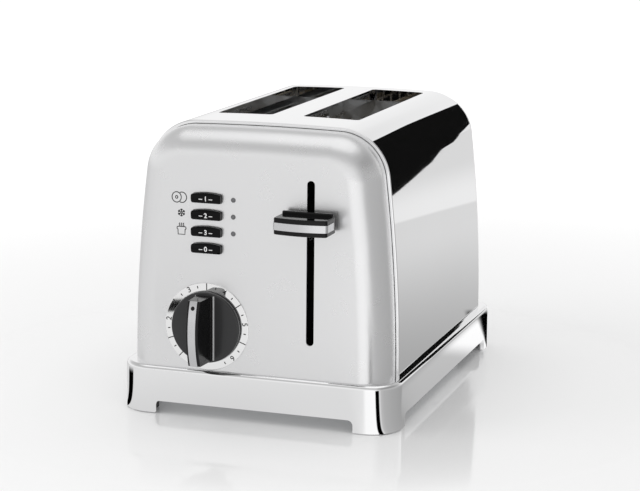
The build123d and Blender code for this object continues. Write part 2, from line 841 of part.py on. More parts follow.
def handle_outline(grow):
    """Plan of the lever handle with a bowed front, grown outwards by grow."""
    half = handle_width / 2
    with BuildSketch() as plan:
        with BuildLine():
            Polyline((lever_x - half, handle_end_y), (lever_x - half, handle_rear_y),
                     (lever_x + half, handle_rear_y), (lever_x + half, handle_end_y))
            ThreePointArc((lever_x + half, handle_end_y), (lever_x, handle_end_y - handle_bow),
                          (lever_x - half, handle_end_y))
        make_face()
        fillet(plan.vertices().group_by(Axis.Y)[0], handle_corner)
        if grow != 0:
            offset(amount=grow)
    return plan.sketch


# Lever handle: a crowned block with a raised lip at the back and a groove for its band
with BuildPart() as lever_handle:
    with BuildSketch(Plane.XY.offset(handle_low)):
        add(handle_outline(0))
    extrude(amount=handle_height)
    fillet(lever_handle.faces().filter_by(Axis.Z).edges(), handle_edge)
    with BuildSketch(Plane.XY.offset(handle_low + handle_height / 2)) as lip:
        with Locations((lever_x, handle_rear_y)):
            Rectangle(handle_width - 2 * handle_lip_inset, handle_lip_depth,
                      align=(Align.CENTER, Align.MAX))
        fillet(lip.vertices(), handle_lip_corner)
    extrude(amount=handle_height / 2 + handle_lip)
    fillet(lever_handle.faces().sort_by(Axis.Z)[-1].edges(), handle_lip_edge)
    with BuildSketch(Plane.XY.offset(band_low)):
        add(handle_outline(groove_reach))
        add(handle_outline(-band_thickness), mode=Mode.SUBTRACT)
        with Locations((lever_x, band_rear_y)):
            Rectangle(2 * handle_width, handle_depth, align=(Align.CENTER, Align.MIN),
                      mode=Mode.SUBTRACT)
    extrude(amount=band_height, mode=Mode.SUBTRACT)
    with BuildSketch(along(lever_x - lever_arm_width / 2 - running_fit)):
        with Locations((handle_rear_y, lever_z)):
            Rectangle(handle_socket + running_fit, lever_arm_height + 2 * running_fit,
                      align=(Align.MAX, Align.CENTER))
    extrude(amount=lever_arm_width + 2 * running_fit, mode=Mode.SUBTRACT)

# Bright band seated in the handle's groove, open at the back
with BuildPart() as lever_band:
    with BuildSketch(Plane.XY.offset(band_low)):
        add(handle_outline(band_proud))
        add(handle_outline(-band_thickness), mode=Mode.SUBTRACT)
        with Locations((lever_x, band_rear_y)):
            Rectangle(2 * handle_width, 2 * handle_depth, align=(Align.CENTER, Align.MIN),
                      mode=Mode.SUBTRACT)
    extrude(amount=band_height)

# Dial: a flat bright ring on the panel round the knob
with BuildPart() as dial_ring:
    with BuildSketch(across(panel_y)):
        with Locations((control_x, knob_z)):
            Circle(dial_radius)
            Circle(knob_radius + dial_gap, mode=Mode.SUBTRACT)
    extrude(amount=dial_thickness)
    fillet(dial_ring.faces().sort_by(Axis.Y)[0].edges().sort_by(SortBy.LENGTH)[-1], dial_edge)

# Browning knob: a disc with a tall bowed grip across it and a shaft behind
with BuildPart() as grip_form:
    with BuildSketch(Plane(origin=(control_x, 0, knob_z - grip_length / 2))):
        with BuildLine():
            Polyline((0, knob_face_y + edge_break), (grip_foot / 2, knob_face_y + edge_break),
                     (grip_foot / 2, knob_face_y))
            ThreePointArc((grip_foot / 2, knob_face_y),
                          (grip_foot / 2 - grip_flare * 0.5 ** 0.5,
                           knob_face_y - grip_flare * (1 - 0.5 ** 0.5)),
                          (grip_foot / 2 - grip_flare, knob_face_y - grip_flare))
            Polyline((grip_foot / 2 - grip_flare, knob_face_y - grip_flare),
                     (grip_crown / 2, knob_tip_y), (0, knob_tip_y))
            mirror(about=Plane.YZ)
        make_face()
    extrude(amount=grip_length)
    with BuildSketch(along(control_x - grip_foot)):
        with BuildLine():
            Polyline((grip_end_y, knob_z + grip_length / 2),
                     (knob_face_y + grip_root, knob_z + grip_length / 2),
                     (knob_face_y + grip_root, knob_z - grip_length / 2),
                     (grip_end_y, knob_z - grip_length / 2))
            ThreePointArc((grip_end_y, knob_z - grip_length / 2),
                          (knob_tip_y + strip_thickness, knob_z),
                          (grip_end_y, knob_z + grip_length / 2))
        make_face()
    extrude(amount=2 * grip_foot, mode=Mode.INTERSECT)

with BuildPart() as browning_knob:
    with BuildSketch(across(panel_y - knob_gap)):
        with Locations((control_x, knob_z)):
            Circle(knob_radius)
    extrude(amount=knob_disc)
    fillet(browning_knob.faces().sort_by(Axis.Y)[0].edges(), knob_edge)
    add(grip_form.part)
    with BuildSketch(across(panel_y - knob_gap)):
        with Locations((control_x, knob_z)):
            Circle(shaft_radius)
    extrude(amount=-(knob_gap + shaft_length))

# Bright strip along the knob's crown, with the pointer dimple near its top
with BuildPart() as knob_strip:
    with BuildSketch(along(control_x - strip_width / 2)):
        with BuildLine():
            ThreePointArc((grip_end_y, knob_z - grip_length / 2),
                          (knob_tip_y + strip_thickness, knob_z),
                          (grip_end_y, knob_z + grip_length / 2))
            Line((grip_end_y, knob_z + grip_length / 2),
                 (grip_end_y - strip_thickness, knob_z + grip_length / 2))
            ThreePointArc((grip_end_y - strip_thickness, knob_z + grip_length / 2),
                          (knob_tip_y, knob_z),
                          (grip_end_y - strip_thickness, knob_z - grip_length / 2))
            Line((grip_end_y - strip_thickness, knob_z - grip_length / 2),
                 (grip_end_y, knob_z - grip_length / 2))
        make_face()
    extrude(amount=strip_width)
    with BuildSketch(across(knob_tip_y - strip_thickness)):
        with Locations((control_x, knob_z + grip_length / 2 - dot_inset)):
            Circle(dot_radius)
    extrude(amount=-(2 * strip_thickness + grip_bow), mode=Mode.SUBTRACT)

# Rotary control behind the knob, with the bush that the shaft turns in
with BuildPart() as rotary_control:
    with BuildSketch(across(board_y)):
        with Locations((control_x, knob_z)):
            RectangleRounded(rotary_size, rotary_size, bush_wall)
    extrude(amount=rotary_depth)
    with BuildSketch(across(board_y)):
        with Locations((control_x, knob_z)):
            Circle(shaft_radius + bush_wall)
    extrude(amount=board_y - panel_y)
    with BuildSketch(across(board_y - bush_floor)):
        with Locations((control_x, knob_z)):
            Circle(shaft_radius + running_fit)
    extrude(amount=2 * board_stand, mode=Mode.SUBTRACT)

# Control board on the panel's standoffs
with BuildPart() as control_board:
    with BuildSketch(across(board_y + board_thickness)):
        with Locations((control_x + (board_right - board_left) / 2, (board_low + board_high) / 2)):
            Rectangle(board_left + board_right, board_high - board_low)
    extrude(amount=board_thickness)

# Push switches on the board, one behind each button
with BuildPart() as push_switches:
    with BuildSketch(across(board_y)):
        with Locations(*[(control_x, z) for z in button_zs]):
            Rectangle(switch_size, switch_size)
    extrude(amount=switch_height)
    with BuildSketch(across(board_y)):
        with Locations(*[(control_x, z) for z in button_zs]):
            Circle(plunger_radius)
    extrude(amount=switch_height + plunger_height)

# Signal lamps: three small domed lenses that stand on the board
with BuildPart() as lamp_lenses:
    with BuildSketch(across(board_y)):
        with Locations(*[(lamp_x, z) for z in button_zs[:3]]):
            Circle(lamp_radius)
    extrude(amount=board_y - panel_y + lamp_proud)
    fillet(lamp_lenses.faces().group_by(Axis.Y)[0].edges(), lamp_proud * 0.8)


def push_button(z):
    """Crowned push button at height z with a retaining flange behind the panel."""
    stem = panel_inner_y + slip_gap + button_flange
    low_z = z - button_height / 2
    high_z = z + button_height / 2 + button_arch
    crown_y = panel_y - button_proud
    with BuildPart() as button:
        with BuildSketch(across(panel_inner_y + slip_gap)):
            add(button_outline(z, 0))
        extrude(amount=panel_inner_y + slip_gap - crown_y + button_crown)
        with BuildSketch(along(control_x - button_width)):
            with BuildLine():
                Polyline((crown_y, low_z), (stem, low_z), (stem, high_z), (crown_y, high_z))
                ThreePointArc((crown_y, high_z),
                              (crown_y - button_crown, (low_z + high_z) / 2), (crown_y, low_z))
            make_face()
        extrude(amount=2 * button_width, mode=Mode.INTERSECT)
        with BuildSketch(across(stem)):
            with Locations((control_x, (low_z + high_z) / 2)):
                Rectangle(button_width + 2 * button_rim, high_z - low_z + 2 * button_rim)
        extrude(amount=button_flange)
        with BuildSketch(across(stem)):
            with Locations((control_x, z)):
                Circle(button_stem)
        extrude(amount=-(board_y - switch_height - plunger_height - button_travel - slip_gap
                         - stem))
    return button.part


with BuildPart() as first_button:
    add(push_button(button_zs[0]))

with BuildPart() as second_button:
    add(push_button(button_zs[1]))

with BuildPart() as third_button:
    add(push_button(button_zs[2]))

with BuildPart() as stop_button:
    add(push_button(button_zs[3]))

# Crumb tray: a shallow sheet pan that slides out to the rear
with BuildPart() as crumb_tray:
    with BuildSketch(Plane.XY.offset(floor_top + tray_lift)):
        with Locations((0, body_y - tray_front)):
            Rectangle(2 * tray_half_width, tray_front + tray_grip_y - body_y,
                      align=(Align.CENTER, Align.MIN))
    extrude(amount=tray_rim)
    with BuildSketch(Plane.XY.offset(floor_top + tray_lift + tray_sheet)):
        with Locations((0, body_y - tray_front + tray_sheet)):
            Rectangle(2 * (tray_half_width - tray_sheet),
                      tray_front + tray_grip_y - body_y - 2 * tray_sheet,
                      align=(Align.CENTER, Align.MIN))
    extrude(amount=tray_rim, mode=Mode.SUBTRACT)

# Tray grip: a moulded bar that closes the mouth in the skirt, with a finger recess
with BuildPart() as tray_grip:
    with BuildSketch(across(body_y + base_length / 2)):
        with Locations((0, floor_top + slip_gap)):
            Rectangle(2 * (tray_half_width + sheet), tray_mouth_height - 2 * slip_gap,
                      align=(Align.CENTER, Align.MIN))
    extrude(amount=tray_grip_depth)
    fillet(tray_grip.faces().sort_by(Axis.Y)[-1].edges(), edge_break)
    with BuildSketch(across(body_y + base_length / 2)):
        with Locations((0, floor_top + slip_gap)):
            Rectangle(recess_width, 2 * (tray_mouth_height - recess_rim))
    extrude(amount=tray_grip_depth - recess_wall, mode=Mode.SUBTRACT)

# Terminal block behind the chamber, where the lead's wires end
with BuildPart() as terminal_block:
    with BuildSketch(across(rear_plate_y + terminal_depth)):
        with Locations((0, terminal_z)):
            Rectangle(terminal_width, terminal_height)
            with GridLocations(terminal_pitch, 1.0, 3, 1):
                Circle(terminal_hole, mode=Mode.SUBTRACT)
    extrude(amount=terminal_depth)
    with BuildSketch(across(rear_plate_y + terminal_base)):
        with Locations((0, terminal_z)):
            Rectangle(terminal_width, terminal_height)
    extrude(amount=terminal_base)

pieces = {
    "base_skirt": base_skirt, "outer_shell": outer_shell, "front_panel": front_panel,
    "rear_panel": rear_panel, "cord_gland": cord_gland, "floor_pan": floor_pan,
    "rubber_feet": rubber_feet, "floor_screws": floor_screws,
    "front_chassis_plate": front_chassis_plate, "rear_chassis_plate": rear_chassis_plate,
    "front_panel_screws": front_panel_screws, "rear_panel_screws": rear_panel_screws,
    "left_reflector": left_reflector, "right_reflector": right_reflector,
    "left_outer_mica": left_outer_mica, "left_inner_mica": left_inner_mica,
    "right_inner_mica": right_inner_mica, "right_outer_mica": right_outer_mica,
    "left_outer_winding": left_outer_winding, "left_inner_winding": left_inner_winding,
    "right_inner_winding": right_inner_winding, "right_outer_winding": right_outer_winding,
    "left_outer_guide": left_outer_guide, "left_inner_guide": left_inner_guide,
    "right_inner_guide": right_inner_guide, "right_outer_guide": right_outer_guide,
    "guide_rod": guide_rod, "lift_spring": lift_spring, "carriage_bracket": carriage_bracket,
    "armature": armature, "holding_magnet": holding_magnet,
    "left_bread_rack": left_bread_rack, "right_bread_rack": right_bread_rack,
    "lever_arm": lever_arm, "lever_handle": lever_handle, "lever_band": lever_band,
    "dial_ring": dial_ring, "browning_knob": browning_knob, "knob_strip": knob_strip,
    "rotary_control": rotary_control, "control_board": control_board,
    "push_switches": push_switches, "lamp_lenses": lamp_lenses,
    "first_button": first_button, "second_button": second_button,
    "third_button": third_button, "stop_button": stop_button,
    "crumb_tray": crumb_tray, "tray_grip": tray_grip, "terminal_block": terminal_block,
}

os.makedirs("parts", exist_ok=True)
for name, piece in pieces.items():
    piece.part.label = name
    export_step(piece.part, f"parts/{name}.step")
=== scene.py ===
"""Looks of a two-slice toaster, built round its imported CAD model.

Lengths are in metres, in the frame of the CAD model: +Z is up, the controls face -Y, and the
origin lies on the table under the middle of the whole outline.
"""

import json
import logging
import math
from dataclasses import dataclass
from enum import Enum

import bmesh
import bpy
from bpy.types import Material, Mesh, Node, NodeSocket, NodeTree, Object
from mathutils import Matrix, Vector

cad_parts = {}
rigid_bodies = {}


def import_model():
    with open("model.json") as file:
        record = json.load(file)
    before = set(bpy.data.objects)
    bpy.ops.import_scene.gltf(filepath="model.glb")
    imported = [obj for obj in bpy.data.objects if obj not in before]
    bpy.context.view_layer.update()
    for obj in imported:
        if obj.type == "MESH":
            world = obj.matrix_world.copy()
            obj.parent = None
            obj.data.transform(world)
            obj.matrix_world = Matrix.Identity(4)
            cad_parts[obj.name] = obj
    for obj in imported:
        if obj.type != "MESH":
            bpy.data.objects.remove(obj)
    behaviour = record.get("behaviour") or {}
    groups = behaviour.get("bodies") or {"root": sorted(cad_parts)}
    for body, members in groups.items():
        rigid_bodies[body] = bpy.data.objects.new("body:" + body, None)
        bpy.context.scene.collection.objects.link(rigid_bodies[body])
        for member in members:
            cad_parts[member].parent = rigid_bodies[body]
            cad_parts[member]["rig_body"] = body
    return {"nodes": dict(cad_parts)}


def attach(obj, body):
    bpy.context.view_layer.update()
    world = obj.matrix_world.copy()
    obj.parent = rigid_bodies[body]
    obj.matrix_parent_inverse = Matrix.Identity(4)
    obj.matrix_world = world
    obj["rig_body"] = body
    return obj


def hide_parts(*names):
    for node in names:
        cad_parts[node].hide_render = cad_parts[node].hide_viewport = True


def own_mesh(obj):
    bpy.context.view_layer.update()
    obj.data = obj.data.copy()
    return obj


Triple = tuple[float, float, float]
Pair = tuple[float, float]
Fade = tuple[Pair, Pair]
Skins = tuple[tuple[str, str, str], ...]
Plain = tuple[tuple[str, ...], ...]
Path = tuple[list[Triple], bool]

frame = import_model()
LOG = logging.getLogger("toaster")
MM = 0.001
INTO_PANEL = Matrix.Rotation(math.radians(90), 4, "X")
MERGE_REACH = 2e-6
THINNEST_EDGE = 1e-7
WHITE = (1.0, 1.0, 1.0, 1.0)
CONTROLS_X = -0.0313
PRINT_DEPTH = 0.00008


class Grain(Enum):
    """Which way the fine marks of a worked metal run."""

    NONE = (1.0, 1.0, 1.0)
    ALONG_X = (0.02, 1.0, 1.0)
    ALONG_Y = (1.0, 0.02, 1.0)
    ALONG_Z = (1.0, 1.0, 0.02)


class NodeMaker:
    """Adds and joins the nodes of one tree."""

    def __init__(self, tree: NodeTree) -> None:
        """Keeps the tree to work on."""
        self.tree = tree

    def add(self, kind: str, links: dict[str | int, object] | None = None,
            **settings: object) -> Node:
        """Adds a node.

        Args:
            kind: Blender's name of the node type.
            links: For each input, an output socket to join or a value to set.
            **settings: Properties to set on the node.

        Returns:
            The new node.
        """
        node = self.tree.nodes.new(kind)
        for key, value in settings.items():
            setattr(node, key, value)
        for key, value in (links or {}).items():
            self.feed(value, node, key)
        return node

    def feed(self, value: object, target: Node, socket: str | int) -> None:
        """Joins an output socket to an input, or sets the input to a plain value.

        Args:
            value: Output socket or plain value.
            target: Node that takes it.
            socket: Name or number of its input.
        """
        if isinstance(value, NodeSocket):
            self.tree.links.new(value, target.inputs[socket])
        else:
            target.inputs[socket].default_value = value

    def sum(self, operation: str, first: object, second: object = 0.0) -> NodeSocket:
        """Returns the result of Blender's named operation on one or two values or sockets."""
        return self.add("ShaderNodeMath", {0: first, 1: second}, operation=operation).outputs[0]

    def product(self, first: object, *others: object) -> NodeSocket:
        """Multiplies values or sockets one after another.

        Args:
            first: First value or socket.
            *others: The values or sockets to multiply it by.

        Returns:
            The socket with the result.
        """
        for other in others:
            first = self.sum("MULTIPLY", first, other)
        return first

    def fade(self, value: NodeSocket, span: Pair, levels: Pair = (0.0, 1.0),
             smooth: bool = True) -> NodeSocket:
        """Maps a value from one span onto two levels, and holds them beyond it.

        Args:
            value: Socket with the value.
            span: Values at which the fade starts and ends.
            levels: Results at the start and at the end.
            smooth: Whether the fade eases in and out.

        Returns:
            The socket with the result.
        """
        node = self.add("ShaderNodeMapRange", {
            "Value": value, "From Min": span[0], "From Max": span[1], "To Min": levels[0],
            "To Max": levels[1]}, interpolation_type="SMOOTHSTEP" if smooth else "LINEAR")
        return node.outputs["Result"]

    def ramp(self, factor: NodeSocket,
             stops: list[tuple[float, Triple]]) -> NodeSocket:
        """Adds a colour ramp.

        Args:
            factor: Socket that runs along the ramp.
            stops: Places on the ramp, each with its colour.

        Returns:
            The socket with the colour.
        """
        node = self.add("ShaderNodeValToRGB", {"Fac": factor})
        while len(node.color_ramp.elements) < len(stops):
            node.color_ramp.elements.new(0.5)
        for element, (place, colour) in zip(node.color_ramp.elements, stops):
            element.position = place
            element.color = (*colour, 1.0)
        return node.outputs["Color"]


class ShaderTree(NodeMaker):
    """Shader nodes of one material."""

    def __init__(self, name: str) -> None:
        """Starts a plain material.

        Args:
            name: Name of the material.
        """
        self.material = bpy.data.materials.new(name)
        self.material.use_nodes = True
        super().__init__(self.material.node_tree)
        self.tree.nodes.clear()
        self.surface = self.add("ShaderNodeBsdfPrincipled")
        self.output = self.add("ShaderNodeOutputMaterial",
                               {"Surface": self.surface.outputs["BSDF"]})
        self.coordinates = self.add("ShaderNodeTexCoord").outputs["Object"]

    def set(self, **values: object) -> None:
        """Sets surface inputs, with underscores for spaces in their names."""
        for key, value in values.items():
            self.feed(value, self.surface, key.replace("_", " "))

    def axes(self) -> Node:
        """Returns a node with the object's X, Y and Z apart."""
        return self.add("ShaderNodeSeparateXYZ", {"Vector": self.coordinates})

    def mapping(self, scale: Triple = (1.0, 1.0, 1.0),
                turn: Triple = (0.0, 0.0, 0.0)) -> NodeSocket:
        """Returns the object's coordinates, stretched and turned."""
        return self.add("ShaderNodeMapping", {"Vector": self.coordinates, "Scale": scale,
                                              "Rotation": turn}).outputs["Vector"]

    def noise(self, scale: float, detail: float = 3.0,
              stretch: Triple = Grain.NONE.value) -> NodeSocket:
        """Returns a noise pattern, with its scale in features per metre."""
        return self.add("ShaderNodeTexNoise", {"Scale": scale, "Detail": detail,
                                               "Vector": self.mapping(stretch)}).outputs["Fac"]

    def cells(self, scale: float, stretch: Triple = Grain.NONE.value) -> Node:
        """Returns the node of a pattern of cells, with its scale in cells per metre."""
        return self.add("ShaderNodeTexVoronoi", {"Scale": scale, "Vector": self.mapping(stretch)})

    def roughen(self, pattern: NodeSocket, low: float, high: float) -> None:
        """Sets the roughness to low where the pattern is below 0.3 and to high above 0.7."""
        self.feed(self.fade(pattern, (0.3, 0.7), (low, high), smooth=False), self.surface,
                  "Roughness")

    def tint(self, pattern: NodeSocket, *stops: tuple[float, Triple]) -> None:
        """Colours the surface by a pattern, with stops of a place and its colour."""
        self.feed(self.ramp(pattern, list(stops)), self.surface, "Base Color")

    def relief(self, *layers: tuple[NodeSocket, float, float]) -> None:
        """Stacks bump layers under the surface's normal.

        Args:
            *layers: Pattern, strength and height in metres of each layer.
        """
        below = {}
        for pattern, strength, height in layers:
            bump = self.add("ShaderNodeBump", {"Height": pattern, "Strength": strength,
                                               "Distance": height, **below})
            below = {"Normal": bump.outputs["Normal"]}
        self.feed(below["Normal"], self.surface, "Normal")


def shades(colour: Triple, factor: float) -> Triple:
    """Returns the colour times the factor, kept between 0 and 1."""
    return tuple(min(1.0, channel * factor) for channel in colour)


@dataclass(frozen=True)
class MirrorMetal:
    """Polished or chromed metal with a trace of handling and pressing in it."""

    name: str
    colour: Triple
    roughness: float
    haze: float
    ripple: float = 0.00001
    grain: Grain = Grain.NONE

    def make(self) -> Material:
        """Returns the material, with soft haze patches, polish marks and a slight ripple."""
        tree = ShaderTree(self.name)
        tree.set(Metallic=1.0)
        tree.roughen(tree.noise(scale=38.0, detail=4.0), self.roughness,
                     self.roughness + self.haze)
        tree.tint(tree.noise(scale=12.0, detail=2.0), (0.3, shades(self.colour, 0.985)),
                  (0.7, self.colour))
        ripple = tree.noise(scale=16.0, detail=1.0)
        polish = tree.noise(scale=2600.0, detail=2.0, stretch=self.grain.value)
        tree.relief((ripple, 1.0, self.ripple), (polish, 0.05, 0.00001))
        return tree.material


@dataclass(frozen=True)
class PearlLacquer:
    """Satin metallic lacquer with fine flake under a thin clear coat."""

    name: str
    colour: Triple
    roughness: float
    metallic: float = 0.85

    def make(self) -> Material:
        """Returns the material, with flake sparkle and a faint orange-peel coat."""
        tree = ShaderTree(self.name)
        tree.set(Metallic=self.metallic, Coat_Weight=0.25, Coat_Roughness=0.12)
        tree.tint(tree.cells(scale=5200.0).outputs["Distance"],
                  (0.0, shades(self.colour, 1.004)), (0.9, shades(self.colour, 0.996)))
        tree.roughen(tree.noise(scale=60.0), self.roughness - 0.01, self.roughness + 0.01)
        tree.relief((tree.noise(scale=90.0, detail=0.0), 0.02, 0.000004))
        return tree.material


@dataclass(frozen=True)
class Moulding:
    """Moulded plastic, from high gloss to a fine spark-eroded texture."""

    name: str
    colour: Triple
    roughness: float
    texture: float
    sheen: float

    def make(self) -> Material:
        """Returns the material, with a moulded texture and slight flow shading."""
        tree = ShaderTree(self.name)
        tree.set(Specular_IOR_Level=self.sheen, IOR=1.5)
        tree.tint(tree.noise(scale=45.0), (0.3, shades(self.colour, 0.9)),
                  (0.7, shades(self.colour, 1.1)))
        tree.roughen(tree.noise(scale=420.0), self.roughness * 0.88, self.roughness * 1.15)
        tree.relief((tree.noise(scale=2400.0, detail=2.0), self.texture, 0.00002))
        return tree.material


@dataclass(frozen=True)
class KnobMoulding:
    """Two-tone moulding: a matt dark disc with a deep black glossy grip on its front."""

    name: str
    disc: Triple
    grip: Triple
    # Colour of a painted highlight: a bright metallic line along the grip's foot.
    foot: Triple
    disc_face: float
    parting: Pair = (0.0006, 0.0001)
    # Where the painted highlight starts and ends in front of the disc face.
    line_back: Pair = (0.00005, 0.00012)
    line_front: Pair = (0.00075, 0.00060)

    def ahead(self, reaches: Pair) -> Pair:
        """Returns the y of two planes at the given reaches in front of the disc."""
        return self.disc_face - reaches[0], self.disc_face - reaches[1]

    def make(self) -> Material:
        """Returns the material, parted at the grip's foot, with a painted highlight along it."""
        tree = ShaderTree(self.name)
        tree.set(Specular_IOR_Level=0.3, IOR=1.5)
        depth = tree.axes().outputs["Y"]
        part = tree.fade(depth, self.ahead(self.parting))
        plain = tree.ramp(part, [(0.0, self.grip), (1.0, self.disc)])
        # Painted highlight: the band at the grip's foot gets a bright colour and full metallic.
        line = tree.product(tree.fade(depth, self.ahead(self.line_back)),
                            tree.fade(depth, self.ahead(self.line_front)))
        polished = tree.add("ShaderNodeMix", {0: line, 6: plain, 7: (*self.foot, 1.0)},
                            data_type="RGBA")
        tree.set(Base_Color=polished.outputs[2], Metallic=line)
        tree.roughen(tree.noise(scale=420.0), 0.14, 0.20)
        tree.relief((tree.noise(scale=2400.0, detail=2.0), 0.03, 0.00002))
        return tree.material


@dataclass(frozen=True)
class SoftRubber:
    """Matt rubber with a bloom of dust."""

    name: str
    colour: Triple

    def make(self) -> Material:
        """Returns the material, with dust specks and a soft bump."""
        tree = ShaderTree(self.name)
        tree.set(IOR=1.45)
        dust = tree.noise(scale=700.0, detail=4.0)
        tree.tint(dust, (0.35, self.colour), (0.75, shades(self.colour, 2.2)))
        tree.roughen(dust, 0.7, 0.92)
        tree.relief((dust, 0.3, 0.00004))
        return tree.material


@dataclass(frozen=True)
class ZincSheet:
    """Zinc-coated sheet or wire with its crystal spangle and rolling marks."""

    name: str
    colour: Triple
    roughness: float = 0.34
    spangle: float = 190.0
    grain: Grain = Grain.ALONG_Y

    def make(self) -> Material:
        """Returns the material, with spangle in colour and roughness and drawn-in marks."""
        tree = ShaderTree(self.name)
        tree.set(Metallic=1.0)
        crystals = tree.cells(self.spangle).outputs["Color"]
        tree.tint(crystals, (0.2, shades(self.colour, 0.9)), (0.8, shades(self.colour, 1.08)))
        tree.roughen(crystals, self.roughness, self.roughness + 0.12)
        marks = tree.noise(scale=1500.0, detail=2.0, stretch=self.grain.value)
        tree.relief((marks, 0.2, 0.00001))
        return tree.material


@dataclass(frozen=True)
class MicaBoard:
    """Pale brown mica board with flakes and a few toasted patches."""

    name: str
    colour: Triple

    def make(self) -> Material:
        """Returns the material, with layered flakes, glints and heat stains."""
        tree = ShaderTree(self.name)
        tree.set(Coat_Weight=0.2, Coat_Roughness=0.3)
        flakes = tree.cells(scale=260.0, stretch=(1.0, 0.6, 1.0))
        tree.tint(tree.noise(scale=26.0, detail=4.0), (0.35, shades(self.colour, 0.7)),
                  (0.6, self.colour), (0.8, shades(self.colour, 1.15)))
        tree.roughen(flakes.outputs["Color"], 0.35, 0.6)
        tree.relief((flakes.outputs["Distance"], 0.2, 0.00005))
        return tree.material


@dataclass(frozen=True)
class HotRibbon:
    """Resistance ribbon or wire with a dark oxide skin."""

    name: str
    colour: Triple
    scale: Triple = (0.16, 0.15, 0.16)
    straw: Triple = (0.46, 0.38, 0.29)

    def make(self) -> Material:
        """Returns the material, with straw and blue-grey oxide bands."""
        tree = ShaderTree(self.name)
        tree.set(Metallic=0.9)
        oxide = tree.noise(scale=95.0)
        tree.tint(oxide, (0.3, self.scale), (0.5, self.colour), (0.7, self.straw))
        tree.roughen(oxide, 0.3, 0.5)
        drawn = tree.noise(scale=3000.0, detail=1.0, stretch=Grain.ALONG_Y.value)
        tree.relief((drawn, 0.1, 0.000008))
        return tree.material


@dataclass(frozen=True)
class CircuitBoard:
    """Glass-fibre board under green resist, with tracks as a raised pattern."""

    name: str
    colour: Triple

    def make(self) -> Material:
        """Returns the material, with tracks and the weave of the glass."""
        tree = ShaderTree(self.name)
        tree.set(Coat_Weight=0.3, Coat_Roughness=0.15)
        resist, edge, bare = ((*shades(self.colour, factor), 1.0) for factor in (0.85, 1.0, 1.9))
        tracks = tree.add("ShaderNodeTexBrick", {
            "Scale": 60.0, "Color1": resist, "Color2": edge, "Mortar": bare,
            "Vector": tree.mapping(turn=(math.radians(90), 0.0, 0.0))})
        tree.set(Base_Color=tracks.outputs["Color"])
        weave = tree.noise(scale=1400.0, detail=2.0)
        tree.roughen(weave, 0.3, 0.42)
        tree.relief((tracks.outputs["Fac"], 0.3, 0.00004), (weave, 0.1, 0.00001))
        return tree.material


@dataclass(frozen=True)
class SmokedLens:
    """Small clear lens over an unlit lamp."""

    name: str
    colour: Triple

    def make(self) -> Material:
        """Returns the material, part see-through, with a faint moulded swirl."""
        tree = ShaderTree(self.name)
        tree.set(Transmission_Weight=0.35, IOR=1.49, Coat_Weight=0.6, Coat_Roughness=0.03)
        swirl = tree.noise(scale=900.0, detail=2.0)
        tree.tint(swirl, (0.3, shades(self.colour, 0.7)), (0.7, self.colour))
        tree.roughen(swirl, 0.06, 0.14)
        tree.relief((swirl, 0.1, 0.00002))
        return tree.material


@dataclass(frozen=True)
class PrintedInk:
    """Pad-printed ink, slightly uneven in cover."""

    name: str
    colour: Triple

    def make(self) -> Material:
        """Returns the material, with patchy cover and a dry surface."""
        tree = ShaderTree(self.name)
        cover = tree.noise(scale=1800.0)
        tree.tint(cover, (0.3, shades(self.colour, 0.9)), (0.7, shades(self.colour, 1.1)))
        tree.roughen(cover, 0.4, 0.6)
        tree.relief((cover, 0.1, 0.00001))
        return tree.material


